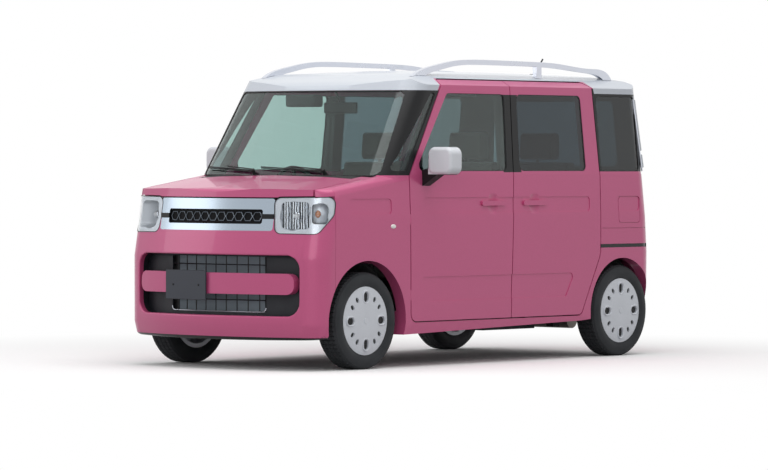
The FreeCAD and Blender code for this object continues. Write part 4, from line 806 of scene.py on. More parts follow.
    @classmethod
    def rim(cls, node: Piece, radius: float, outward: Point, sharp: float = 50.0) -> Piece:
        """Lays a round bead along the outer outline of a pane.

        Args:
            node: The pane's node.
            radius: Bead radius.
            outward: Direction that the pane faces on the left side; X turns over on the right.
            sharp: Edges sharper than this many degrees count as outline.

        Returns:
            The bead as a mesh.
        """
        copy = cls.copy_node(node)
        cls.unselect("EDGE")
        with cls.editing():
            bpy.ops.mesh.edges_select_sharp(sharpness=math.radians(sharp))
        facing: dict[tuple[int, int], float] = {}
        for face in copy.data.polygons:
            turn = Vector((math.copysign(1, face.center.x) * outward[0], outward[1], outward[2]))
            for key in face.edge_keys:
                facing[key] = max(facing.get(key, -1.0), face.normal.dot(turn))
        for edge in copy.data.edges:
            edge.select = edge.select and facing.get(edge.key, -1.0) > cls.OUTER
        with cls.editing():
            bpy.ops.mesh.duplicate()
            bpy.ops.mesh.separate(type="SELECTED")
        line = next(piece for piece in bpy.context.selected_objects if piece is not copy)
        bpy.data.objects.remove(copy, do_unlink=True)
        cls.pick(line)
        with cls.editing("SELECT"):
            bpy.ops.mesh.remove_doubles(threshold=cls.LINE_MERGE)
        bpy.ops.object.convert(target="CURVE")
        return cls.bead(bpy.context.object, radius)

    @classmethod
    def soften(cls, piece: Piece, width: float, segments: int = 2, angle: float = 35.0) -> Piece:
        """Bevels a piece's sharp edges and shades it smooth.

        Args:
            piece: Piece to finish.
            width: Bevel width.
            segments: Bevel rows.
            angle: Edges sharper than this many degrees are bevelled.

        Returns:
            The piece.
        """
        cls.pick(piece)
        bevel = piece.modifiers.new("edge", "BEVEL")
        bevel.width = width
        bevel.segments = segments
        bevel.limit_method = "ANGLE"
        bevel.angle_limit = math.radians(angle)
        bpy.ops.object.modifier_apply(modifier=bevel.name)
        bpy.ops.object.shade_smooth_by_angle(angle=math.radians(angle))
        weigh = piece.modifiers.new("weigh", "WEIGHTED_NORMAL")
        weigh.keep_sharp = True
        weigh.weight = cls.WEIGHT
        bpy.ops.object.modifier_apply(modifier=weigh.name)
        return piece

    @classmethod
    def cut(cls, piece: Piece, cutter: Piece) -> None:
        """Cuts one piece away from another and deletes the cutter.

        Args:
            piece: Piece that stays.
            cutter: Piece to cut away.
        """
        tool = piece.modifiers.new("cut", "BOOLEAN")
        tool.operation = "DIFFERENCE"
        tool.object = cutter
        tool.solver = "EXACT"
        cls.pick(piece)
        bpy.ops.object.modifier_apply(modifier=tool.name)
        bpy.data.objects.remove(cutter, do_unlink=True)

    @classmethod
    def join(cls, pieces: list[Piece]) -> Piece:
        """Joins pieces into the first one.

        Args:
            pieces: Pieces to join.

        Returns:
            The joined piece.
        """
        made = cls.pick(*pieces)
        bpy.ops.object.join()
        return made

    @classmethod
    def opposite(cls, piece: Piece) -> Piece:
        """Copies a piece to the other side of the car.

        Args:
            piece: Piece on one side.

        Returns:
            Its mirror image with its own mesh.
        """
        cls.pick(piece)
        bpy.ops.object.duplicate()
        made = bpy.context.object
        made.data.transform(Matrix.Scale(-1, 4, (1, 0, 0)))
        cls.outward(made)
        return made

    @classmethod
    def outward(cls, piece: Piece) -> None:
        """Merges a piece's doubles and points its faces outwards.

        Args:
            piece: Closed piece.
        """
        cls.pick(piece)
        with cls.editing("SELECT"):
            bpy.ops.mesh.remove_doubles(threshold=cls.MERGE)
            bpy.ops.mesh.normals_make_consistent(inside=False)

    @classmethod
    def copy_node(cls, node: Piece) -> Piece:
        """Copies a CAD node as one merged mesh with wide flat faces.

        Args:
            node: The node's object.

        Returns:
            The copy, with its own mesh.
        """
        made = node.copy()
        made.data = node.data.copy()
        made.parent = None
        for key in list(made.keys()):
            del made[key]
        bpy.context.scene.collection.objects.link(made)
        cls.pick(made)
        with cls.editing("SELECT"):
            bpy.ops.mesh.remove_doubles(threshold=cls.CAD_MERGE)
            bpy.ops.mesh.dissolve_limited(angle_limit=cls.FLAT)
        made.data.materials.clear()
        return made


@dataclass
class Wagon:
    """What every sub-assembly needs: the frame's nodes and bodies."""

    frame: dict

    def node(self, name: str) -> Piece:
        """The CAD node's object."""
        return self.frame["nodes"][name]

    def body(self, name: str) -> str:
        """The body that carries a CAD node."""
        return self.node(name)["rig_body"]

    def add(self, piece: Piece, body: str = "chassis") -> Piece:
        """Lets a piece ride on a body and reports it.

        Args:
            piece: Finished piece.
            body: Body name.

        Returns:
            The piece.
        """
        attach(piece, body)
        LOG.info("%s on %s", piece.name, body)
        return piece

    def dress(self, piece: Piece, name: str, finish: Finish, body: str = "chassis") -> None:
        """Names and dresses a piece and lets it ride on a body."""
        self.add(Bench.settle(piece, name, finish), body)

    def pair(self, piece: Piece, name: str, finish: Finish) -> None:
        """Puts a left piece and its mirror image on the chassis.

        Args:
            piece: The shaped left piece.
            name: Name of both, without the side.
            finish: Their surface.
        """
        other = Bench.opposite(Bench.settle(piece, name, finish))
        for side, made in ((Side.LEFT, piece), (Side.RIGHT, other)):
            made.name = f"{name}_{side.word}"
            self.add(made)

    def panel(
        self, name: str, finish: Finish, width: float, angle: float = 30.0, rolls: Iterable[Roll] = (),
        cutter: Piece | None = None,
    ) -> Piece:
        """Puts a copy with rolled edges in the place of a CAD node.

        Args:
            name: Node name.
            finish: Its surface.
            width: Edge radius.
            angle: Edges sharper than this many degrees are rolled.
            rolls: Wide roundings made first.
            cutter: Piece that is cut away and deleted.

        Returns:
            The new piece.
        """
        piece = Bench.copy_node(self.node(name))
        if cutter is not None:
            Bench.cut(piece, cutter)
        for roll in rolls:
            Bench.roll(piece, roll)
        Bench.soften(piece, width, 2, angle)
        piece.name = name + "_skin"
        piece.data.materials.append(finish.build())
        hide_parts(name)
        return self.add(piece, self.body(name))


@dataclass
class Panels:
    """Painted and plated outer panels with their rolled edges."""

    wagon: Wagon
    edge: float = 2.2 * MILLIMETRE
    wide_edge: float = 4.4 * MILLIMETRE

    PAINTED = (
        "bonnet", "front_bumper", "bumper_bar", "front_fender_left", "front_fender_right", "body_side_left",
        "body_side_right", "tailgate", "rear_bumper",
    )
    DOORS = ("front_door_left", "front_door_right", "sliding_door_left", "sliding_door_right")
    ROLLS = {
        "front_bumper": (
            Roll(Zone((-0.66, -1.75, 0.295), (0.66, -1.50, 0.680)), 0.010, (0, -0.6, 0.481), 4, facing=0.75),
            Roll(Zone((-0.75, -1.75, 0.160), (0.75, -1.40, 0.185)), 0.022, (0, -0.9, 0.300)),
        ),
    }

    def build(self) -> None:
        """Makes every outer panel."""
        for name in self.PAINTED:
            self.wagon.panel(name, BODY_PAINT, self.edge, rolls=self.ROLLS.get(name, ()))
        for name in self.DOORS:
            self.wagon.panel(name, DOOR_PAINT, self.edge)
        self.wagon.panel("roof_panel", ROOF_PAINT, self.edge)
        self.wagon.panel("upper_grille", CHROME, self.edge)
        self.wagon.panel("roof_rails", SATIN_SILVER, self.wide_edge)
        for side in Side:
            self.wagon.panel("mirror_" + side.word, MIRROR_PAINT, self.wide_edge)


@dataclass
class PlainNodes:
    """CAD nodes that keep their own mesh and get a finish."""

    wagon: Wagon

    FINISHES = {
        "windscreen": CLEAR_GLASS, "quarter_glass": CLEAR_GLASS, "front_door_glass_left": CLEAR_GLASS,
        "front_door_glass_right": CLEAR_GLASS, "sliding_door_glass": PRIVACY_GLASS,
        "tailgate_glass": PRIVACY_GLASS, "headlamp_lenses": LAMP_GLASS, "headlamps": LAMP_BEZEL,
        "grille_insert": SHADOWED_BLACK, "lower_grille": BLACK_PLASTIC, "tail_lamps": TAIL_RED,
        "floor_pan": UNDERBODY, "front_body_frame": UNDERBODY, "radiator": RADIATOR,
        "front_subframe": UNDERBODY, "engine_block": CAST_METAL, "knuckle_left": UNDERBODY,
        "knuckle_right": UNDERBODY, "rear_axle": UNDERBODY, "fuel_tank": BLACK_PLASTIC, "exhaust": EXHAUST,
        "dashboard": DASH, "steering_wheel": DASH, "antenna": BLACK_PLASTIC,
    }

    def build(self) -> None:
        """Dresses the nodes."""
        for name, finish in self.FINISHES.items():
            node = self.wagon.node(name)
            node.data.materials.clear()
            node.data.materials.append(finish.build())


@dataclass
class Seals:
    """Black rubber round every pane and lamp: bead radius in millimetres and the way it faces."""

    wagon: Wagon

    RIMS = (
        ("front_door_glass_left", 4.0, (1.0, 0.0, 0.2)), ("front_door_glass_right", 4.0, (1.0, 0.0, 0.2)),
        ("sliding_door_glass", 4.0, (1.0, 0.0, 0.2)), ("quarter_glass", 3.5, (1.0, 0.0, 0.2)),
        ("windscreen", 5.0, (0.0, -0.83, 0.55)), ("tailgate_glass", 5.0, (0.0, 1.0, 0.0)),
        ("headlamp_lenses", 2.2, (0.64, -0.77, 0.0)),
    )

    def build(self) -> None:
        """Lays every seal on the body of its pane."""
        for name, radius, outward in self.RIMS:
            seal = Bench.rim(self.wagon.node(name), radius * MILLIMETRE, outward)
            self.wagon.dress(seal, "seal_" + name, RUBBER, self.wagon.body(name))


@dataclass
class Lamps:
    """Headlamp chambers with fluted reflectors and bulbs, and the small side markers.

    Places inside a headlamp are given across its face, up, and ahead out of it.
    """

    wagon: Wagon
    face_turn: float = 40.0
    mouth: float = 1.64
    edge: float = 1.5 * MILLIMETRE
    round_steps: int = 5
    main_back: float = 1.478
    main_across: Span = (-0.660, -0.494)
    main_up: Span = (0.806, 0.962)
    main_round: float = 30.0 * MILLIMETRE
    turn_back: float = 1.465
    turn_across: Span = (-0.486, -0.394)
    turn_up: Span = (0.836, 0.950)
    turn_round: float = 20.0 * MILLIMETRE
    flute: float = 6.2 * MILLIMETRE
    flute_pitch: float = 11.9 * MILLIMETRE
    flute_start: float = -0.6515
    flute_count: int = 14
    shade_middle: Span = (-0.572, 0.882)
    shade_length: float = 40.0 * MILLIMETRE
    shade_radius: float = 21.0 * MILLIMETRE
    shade_edge: float = 4.0 * MILLIMETRE
    bulb: Point = (0.016, 0.016, 0.016)
    dish_middle: Point = (-0.440, 0.893, 0.004)
    dish: Point = (0.060, 0.060, 0.066)
    dish_flat: Point = (0.95, 0.25, 1.0)
    turn_bulb_middle: Point = (-0.452, 0.892, 0.034)
    turn_bulb: Point = (0.017, 0.017, 0.022)
    marker_middle: Point = (0.7370, -0.9060, 0.818)
    marker: Point = (0.007, 0.024, 0.013)
    smooth: float = 40.0

    def build(self) -> None:
        """Makes the chambers, their insides and the markers of both sides."""
        self.housing()
        amber = self.in_turn(self.turn_bulb_middle)
        for name, piece, finish in (
            ("reflector", self.reflector(), LAMP_CHROME), ("bulb_shade", self.shade(), LAMP_CHROME),
            ("bulb", Bench.ball(self.shade_ends()[1], self.bulb), BULB),
            ("turn_reflector", self.turn_dish(), LAMP_BEZEL),
            ("turn_bulb", Bench.ball(amber, self.turn_bulb), AMBER),
            ("marker", Bench.ball(self.marker_middle, self.marker), MARKER),
        ):
            self.wagon.pair(piece, name, finish)

    def place(self, across: float, up: float, ahead: float) -> Vector:
        """Turns a place in the left headlamp into one on the car.

        Args:
            across: Place across the lamp's face.
            up: Height.
            ahead: Place out of the lamp.

        Returns:
            The point.
        """
        turn = math.radians(self.face_turn)
        x = across * math.cos(turn) + ahead * math.sin(turn)
        return Vector((x, across * math.sin(turn) - ahead * math.cos(turn), up))

    def in_turn(self, spot: Point) -> Vector:
        """Place in the turn chamber, with the last part counted from its back wall."""
        return self.place(spot[0], spot[1], self.turn_back + spot[2])

    def pocket(self, across: Span, up: Span, radius: float, back: float) -> Piece:
        """Solid of one chamber, from its back wall out through the lens.

        Args:
            across: Its two sides.
            up: Its floor and its roof.
            radius: Corner radius.
            back: Place of its back wall.

        Returns:
            The cutting solid.
        """
        outline = []
        for corner, (a, b) in enumerate(((1, 1), (0, 1), (0, 0), (1, 0))):
            middle_a = across[a] - (radius if a else -radius)
            middle_b = up[b] - (radius if b else -radius)
            for step in range(self.round_steps + 1):
                angle = math.pi / 2 * (corner + step / self.round_steps)
                out_a, out_b = radius * math.cos(angle), radius * math.sin(angle)
                outline.append(self.place(middle_a + out_a, middle_b + out_b, back))
        reach = self.place(0, 0, self.mouth) - self.place(0, 0, back)
        return Bench.extruded(outline, reach)

    def housing(self) -> None:
        """Cuts the two chambers of each side into a copy of the headlamp housings."""
        main = self.pocket(self.main_across, self.main_up, self.main_round, self.main_back)
        turn = self.pocket(self.turn_across, self.turn_up, self.turn_round, self.turn_back)
        cutter = Bench.join([main, turn, Bench.opposite(main), Bench.opposite(turn)])
        housing = Bench.copy_node(self.wagon.node("headlamps"))
        Bench.cut(housing, cutter)
        Bench.soften(housing, self.edge)
        Bench.settle(housing, "lamp_housings", LAMP_BEZEL)
        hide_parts("headlamps")
        self.wagon.add(housing, "chassis")

    def reflector(self) -> Piece:
        """Row of upright flutes along the main chamber's back wall.

        Returns:
            The flutes in one piece.
        """
        flutes = []
        for step in range(self.flute_count):
            across = self.flute_start + self.flute_pitch * step
            foot, head = [self.place(across, up, self.main_back) for up in self.main_up]
            flutes.append(Bench.bar(foot, head, self.flute, sides=12))
        made = Bench.join(flutes)
        bpy.ops.object.shade_smooth_by_angle(angle=math.radians(self.smooth))
        return made

    def shade_ends(self) -> tuple[Vector, Vector]:
        """Back and front of the main bulb's shade."""
        back = self.place(*self.shade_middle, self.main_back)
        return back, back + self.place(0, 0, 1) * self.shade_length

    def shade(self) -> Piece:
        """Round shade behind the main bulb."""
        return Bench.soften(Bench.bar(*self.shade_ends(), self.shade_radius), self.shade_edge)

    def turn_dish(self) -> Piece:
        """Shallow dish behind the amber bulb.

        Returns:
            The dish, flattened along the lamp's own direction.
        """
        middle = self.in_turn(self.dish_middle)
        made = Bench.ball(middle, self.dish)
        made.data.transform(
            Matrix.Translation(middle) @ Matrix.Rotation(math.radians(self.face_turn), 4, "Z")
            @ Matrix.Diagonal((*self.dish_flat, 1.0)) @ Matrix.Translation(-middle)
        )
        return made


@dataclass
class Nose:
    """Grille pattern, lower intake bars and the painted corners above the headlamps."""

    wagon: Wagon
    insert_face: float = -1.6389
    insert_middle: float = 0.8765
    insert_lean: float = 0.118
    cell_pitch: float = 63.0 * MILLIMETRE
    cells_aside: int = 5
    cell_proud: float = 2.0 * MILLIMETRE
    cell_bead: float = 3.6 * MILLIMETRE
    stub_middle: float = 0.39
    stub_face: float = -1.6529
    stub_span: Span = (0.352, 0.432)
    stub_depth: Span = (-0.006, 0.008)
    stub_levels: Span = (0.864, 0.892)
    stub_turn: float = 0.20
    stub_edge: float = 3.0 * MILLIMETRE
    window_face: float = -1.6215
    bar_half: float = 0.36
    bar_sunk: float = 6.0 * MILLIMETRE
    bar_radius: float = 3.5 * MILLIMETRE
    bar_levels: tuple[float, ...] = (0.398, 0.468, 0.538, 0.600)
    upright_pitch: float = 78.0 * MILLIMETRE
    uprights_aside: int = 4
    upright_levels: Span = (0.328, 0.650)
    lip_half: float = 0.335
    lip_level: float = 0.330
    lip_round: float = 24.0 * MILLIMETRE
    lip_steps: int = 5
    lip_proud: float = 1.0 * MILLIMETRE
    lip_radius: float = 2.8 * MILLIMETRE
    joint: float = -1.4228
    lap: float = 2.8 * MILLIMETRE
    tip_front: float = -1.5175
    tip_stations: int = 10
    tip_foot: float = 0.9935
    tip_drop: float = 0.14
    turn_middle: Span = (0.5736, -1.3857)
    turn_radius: float = 0.1596
    smooth: float = 35.0

    CELL = ((-0.030, 0.0), (-0.016, 0.024), (0.016, 0.024), (0.030, 0.0), (0.016, -0.024), (-0.016, -0.024))
    FENDER_END = (
        (0.6600, 1.0443), (0.6719, 1.0436), (0.6778, 1.0430), (0.6836, 1.0419), (0.6914, 1.0398),
        (0.6985, 1.0366), (0.7060, 1.0328), (0.7135, 1.0280), (0.7170, 1.0252), (0.7197, 1.0222),
        (0.7222, 1.0187), (0.7241, 1.0152), (0.7260, 1.0105), (0.7276, 1.0048), (0.7290, 0.9975),
    )

    def build(self) -> None:
        """Makes the nose's small parts."""
        self.cells()
        self.stubs()
        self.intake()
        self.lip()
        self.corner()

    @staticmethod
    def bowed(x: float, y: float) -> float:
        """Place along the car of a point on a surface that follows the nose's bow."""
        return y + x * x / (2 * BOW)

    @staticmethod
    def steps(start: float, end: float, count: int = 12) -> list[float]:
        """Evenly spaced numbers, both ends included."""
        return [start + (end - start) * index / count for index in range(count + 1)]

    def cells(self) -> None:
        """Row of raised six-sided rings on the grille insert."""
        rings = []
        for column in range(-self.cells_aside, self.cells_aside + 1):
            points = []
            for across, up in self.CELL:
                x = self.cell_pitch * column + across
                y = self.bowed(x, self.insert_face + self.insert_lean * up - self.cell_proud)
                points.append(Vector((x, y, self.insert_middle + up)))
            rings.append(Bench.tube(points, self.cell_bead, True))
        self.wagon.dress(Bench.join(rings), "grille_cells", DARK_CHROME)

    def stubs(self) -> None:
        """Short bars from the grille to each headlamp."""
        stubs = []
        y = self.bowed(self.stub_middle, self.stub_face)
        back, front = [y + part for part in self.stub_depth]
        low, high = self.stub_levels
        for side in (-1, 1):
            near, far = sorted(side * part for part in self.stub_span)
            stub = Bench.box((near, back, low), (far, front, high))
            middle = Vector((side * self.stub_middle, y, 0))
            stub.data.transform(
                Matrix.Translation(middle) @ Matrix.Rotation(side * self.stub_turn, 4, "Z")
                @ Matrix.Translation(-middle)
            )
            stubs.append(Bench.soften(stub, self.stub_edge))
        self.wagon.dress(Bench.join(stubs), "grille_stubs", GLOSS_BLACK)

    def intake(self) -> None:
        """Bars across and up the radiator."""
        bars = []
        face = self.window_face + self.bar_sunk
        for level in self.bar_levels:
            across = self.steps(-self.bar_half, self.bar_half)
            points = [Vector((x, self.bowed(x, face), level)) for x in across]
            bars.append(Bench.tube(points, self.bar_radius))
        for column in range(-self.uprights_aside, self.uprights_aside + 1):
            x = self.upright_pitch * column
            points = [Vector((x, self.bowed(x, face), level)) for level in self.upright_levels]
            bars.append(Bench.tube(points, self.bar_radius))
        self.wagon.dress(Bench.join(bars), "intake_bars", GLOSS_BLACK)

    def lip(self) -> None:
        """Bright bead along the lower edge of the intake, turned up at both ends."""
        turned = []
        for step in range(1, self.lip_steps + 1):
            angle = math.pi / 2 * step / self.lip_steps
            x = self.lip_half + self.lip_round * math.sin(angle)
            turned.append((x, self.lip_level + self.lip_round * (1 - math.cos(angle))))
        straight = [(x, self.lip_level) for x in self.steps(-self.lip_half, self.lip_half)]
        outline = [(-x, z) for x, z in reversed(turned)] + straight + turned
        face = self.window_face - self.lip_proud
        bead = Bench.tube([Vector((x, self.bowed(x, face), z)) for x, z in outline], self.lip_radius)
        self.wagon.dress(bead, "intake_lip", SATIN_SILVER)

    def corner(self) -> None:
        """Painted tip of each front fender, between the bonnet, the headlamp and the bumper."""
        back = self.joint + self.lap
        length = self.tip_front - back
        turns = [math.pi / 2 * step / self.tip_stations for step in range(self.tip_stations + 1)]
        tip = Bench.lofted([self.tip(back + length * math.sin(turn)) for turn in turns])
        bpy.ops.object.shade_smooth_by_angle(angle=math.radians(self.smooth))
        self.wagon.pair(tip, "fender_tip", BODY_PAINT)

    def tip(self, y: float) -> list[Vector]:
        """Section of the left tip: the fender's own end, drawn in along the nose's round corner.

        Args:
            y: Place of the section.

        Returns:
            Its outline.
        """
        inner, outer = self.FENDER_END[0][0], self.FENDER_END[-1][0]
        middle_x, middle_y = self.turn_middle
        rest = self.turn_radius**2 - (min(y, self.joint) - middle_y) ** 2
        share = (middle_x + math.sqrt(max(rest, 0.0)) - inner) / (outer - inner)
        drop = self.tip_drop * (self.joint - y)
        points = [Vector((inner + (x - inner) * share, y, z - drop)) for x, z in self.FENDER_END]
        return points + [Vector((points[-1].x, y, self.tip_foot)), Vector((inner, y, self.tip_foot))]


@dataclass
class Tail:
    """Lamp columns and the bright strips on the rear corners.

    The corner's plan is drawn at one level and leans inwards and forwards with height.
    """

    wagon: Wagon
    level: float = 1.40
    lean: Span = (-0.1027, -0.086)
    proud: float = 12.0 * MILLIMETRE
    sunk: float = 0.3
    lens_edge: float = 5.0 * MILLIMETRE
    strip_place: Span = (0.6962, 1.5225)
    strip_levels: Point = (1.136, 1.36, 1.598)
    strip_radius: float = 6.2 * MILLIMETRE

    CORNER = (
        (0.6905, 1.5330), (0.6820, 1.5470), (0.6760, 1.5540), (0.6650, 1.5660), (0.6510, 1.5780),
        (0.6400, 1.5850), (0.6290, 1.5905),
    )
    LENSES = ((1.262, 1.578), (1.158, 1.240))

    def build(self) -> None:
        """Makes both sides' lenses and strips."""
        for number, (low, high) in enumerate(self.LENSES):
            lens = Bench.lofted([self.outline(low), self.outline(high)])
            self.wagon.pair(Bench.soften(lens, self.lens_edge, segments=3), f"tail_lens_{number}", TAIL_LENS)
        points = [self.leaned(*self.strip_place, level) for level in self.strip_levels]
        strip = Bench.tube(points, self.strip_radius)
        self.wagon.pair(strip, "corner_strip", SATIN_SILVER)

    def leaned(self, x: float, y: float, level: float) -> Vector:
        """Point of the corner's plan moved to its place at another level."""
        rise = level - self.level
        return Vector((x + self.lean[0] * rise, y + self.lean[1] * rise, level))

    def outline(self, level: float) -> list[Vector]:
        """Plan of a lens at one level: a line sunk in the body's corner and one proud of it.

        Args:
            level: Height.

        Returns:
            The closed outline.
        """
        inner = [self.leaned(x, y, level) for x, y in self.CORNER]
        outer = []
        for index, point in enumerate(inner):
            before, after = inner[max(index - 1, 0)], inner[min(index + 1, len(inner) - 1)]
            along = (after - before).normalized()
            outer.append(point + Vector((along.y, -along.x, 0)) * self.proud)
        sunk = [point - (far - point) * self.sunk for point, far in zip(inner, outer)]
        return sunk + list(reversed(outer))


@dataclass
class Seats:
    """Padded seats with rolled edges."""

    wagon: Wagon
    roll: float = 20.0 * MILLIMETRE
    rows: int = 4
    crease: float = 30.0

    def build(self) -> None:
        """Makes both rows."""
        for name in ("front_seats", "rear_seat"):
            piece = Bench.copy_node(self.wagon.node(name))
            Bench.soften(piece, self.roll, self.rows, self.crease)
            Bench.settle(piece, name + "_padding", SEAT_CLOTH)
            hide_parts(name)
            self.wagon.add(piece, self.wagon.body(name))


@dataclass
class Trim:
    """Plate, wipers, interior mirror and door mirror glass.

    A wiper's pivot and hold are given as a height and a distance off the glass, and its spine and
    rubber with their radius too.
    """

    wagon: Wagon
    plate_middle: Point = (-0.158, -1.7005, 0.481)
    plate_edge: float = 0.8 * MILLIMETRE
    frame_edge: float = 1.5 * MILLIMETRE
    bolt_spread: float = 0.105
    bolt_radius: float = 5.5 * MILLIMETRE
    bolt_reach: Span = (-0.0045, 0.012)
    screen_foot: Span = (-1.0861, 1.1196)
    screen_rise: Span = (0.4210, 0.6408)
    screen_facing: Span = (-0.83, 0.55)
    wiper_pivot: Span = (1.128, 0.010)
    wiper_hold: Span = (1.150, 0.022)
    arm_rise: Point = (0.0, -0.004, 0.012)
    arm_radius: float = 4.5 * MILLIMETRE
    base_radius: float = 11.0 * MILLIMETRE
    base_edge: float = 2.0 * MILLIMETRE
    spine: Point = (1.152, 0.013, 0.004)
    rubber: Point = (1.148, 0.006, 0.003)
    wiper_drop: float = 0.02
    mirror_edge: float = 9.0 * MILLIMETRE
    housing_edge: float = 14.0 * MILLIMETRE
    stem_radius: float = 8.0 * MILLIMETRE
    pane_edge: float = 1.0 * MILLIMETRE
    mirror_across: Span = (0.800, 0.938)
    mirror_levels: Span = (1.140, 1.256)
    mirror_depth: Span = (-0.001, 0.0015)

    BOARD = ((-0.165, -0.001, -0.0825), (0.165, 0.001, 0.0825))
    PLATE_FRAME = ((-0.168, 0.001, -0.0855), (0.168, 0.004, 0.0855))
    BRACKET = ((-0.12, 0.004, -0.03), (0.12, 0.012, 0.03))
    # Pivot, far end and near end of each blade across the car.
    BLADES = ((0.34, -0.13, 0.33), (-0.18, -0.62, -0.20))
    # Ends of a wiper's base, counted from its pivot.
    BASE = ((0.0, 0.012, -0.020), (0.0, -0.010, 0.012))
    CABIN_MIRROR = ((-0.025, -0.630, 1.474), (0.225, -0.608, 1.540))
    CAMERA_HOUSING = ((-0.205, -0.770, 1.512), (0.020, -0.680, 1.585))
    STEM = ((0.10, -0.612, 1.52), (0.08, -0.640, 1.60))

    def build(self) -> None:
        """Makes every small piece."""
        self.plate()
        self.wipers()
        self.cabin_mirror()
        self.mirror_glass()

    def plate(self) -> None:
        """Blank dark plate on its bracket, turned to follow the bumper's bow."""
        board = Bench.soften(Bench.box(*self.BOARD), self.plate_edge)
        frame = Bench.soften(Bench.box(*self.PLATE_FRAME), self.frame_edge)
        bracket = Bench.box(*self.BRACKET)
        head, end = self.bolt_reach
        bolts = [
            Bench.bar((x, head, 0.0), (x, end, 0.0), self.bolt_radius, sides=16)
            for x in (-self.bolt_spread, self.bolt_spread)
        ]
        turn = Matrix.Rotation(math.atan2(self.plate_middle[0], BOW), 4, "Z")
        for piece, name, finish in (
            (board, "blank_plate", PLATE), (Bench.join([frame, bracket]), "plate_bracket", BLACK_PLASTIC),
            (Bench.join(bolts), "plate_bolts", RUBBER),
        ):
            piece.data.transform(Matrix.Translation(self.plate_middle) @ turn)
            self.wagon.dress(piece, name, finish)

    def screen(self, x: float, z: float, off: float) -> Vector:
        """Point just ahead of the windscreen.

        Args:
            x: Place across the car.
            z: Height.
            off: Distance ahead of the glass.

        Returns:
            The point.
        """
        foot_y, foot_z = self.screen_foot
        lean = (z - foot_z) / self.screen_rise[1]
        y = foot_y + self.screen_rise[0] * lean + x * x / (2 * BOW)
        return Vector((x, y, z)) + Vector((x / BOW, *self.screen_facing)) * off

    def wipers(self) -> None:
        """Two wipers parked along the foot of the windscreen."""
        for number, (pivot_x, far, near) in enumerate(self.BLADES):
            pivot = self.screen(pivot_x, *self.wiper_pivot)
            middle = self.screen((far + near) / 2, *self.wiper_hold)
            arm = Bench.tube([pivot, pivot + Vector(self.arm_rise), middle], self.arm_radius)
            foot, head = [pivot + Vector(end) for end in self.BASE]
            base = Bench.bar(foot, head, self.base_radius, sides=16)
            parts = [arm, Bench.soften(base, self.base_edge)]
            for level, off, radius in (self.spine, self.rubber):
                points = [
                    self.screen(x, level - self.wiper_drop * (x - far) / (near - far), off)
                    for x in Nose.steps(far, near)
                ]
                parts.append(Bench.tube(points, radius))
            self.wagon.dress(Bench.join(parts), f"wiper_{number}", RUBBER)

    def cabin_mirror(self) -> None:
        """Interior mirror and the camera housing behind the windscreen's top."""
        body = Bench.soften(Bench.box(*self.CABIN_MIRROR), self.mirror_edge, segments=3)
        housing = Bench.soften(Bench.box(*self.CAMERA_HOUSING), self.housing_edge, segments=3)
        stem = Bench.tube([Vector(end) for end in self.STEM], self.stem_radius)
        self.wagon.dress(Bench.join([body, housing, stem]), "cabin_mirror", DASH)

    def mirror_glass(self) -> None:
        """Silvered glass on the rear face of both door mirrors."""
        bottom, top = self.mirror_levels
        for side in Side:
            body = self.wagon.body("mirror_" + side.word)
            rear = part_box("mirror_" + side.word)[1].y
            inner, outer = sorted(side.value * part for part in self.mirror_across)
            back, front = [rear + part for part in self.mirror_depth]
            pane = Bench.box((inner, back, bottom), (outer, front, top))
            Bench.soften(pane, self.pane_edge)
            self.wagon.dress(pane, "mirror_glass_" + side.word, MIRROR_GLASS, body)


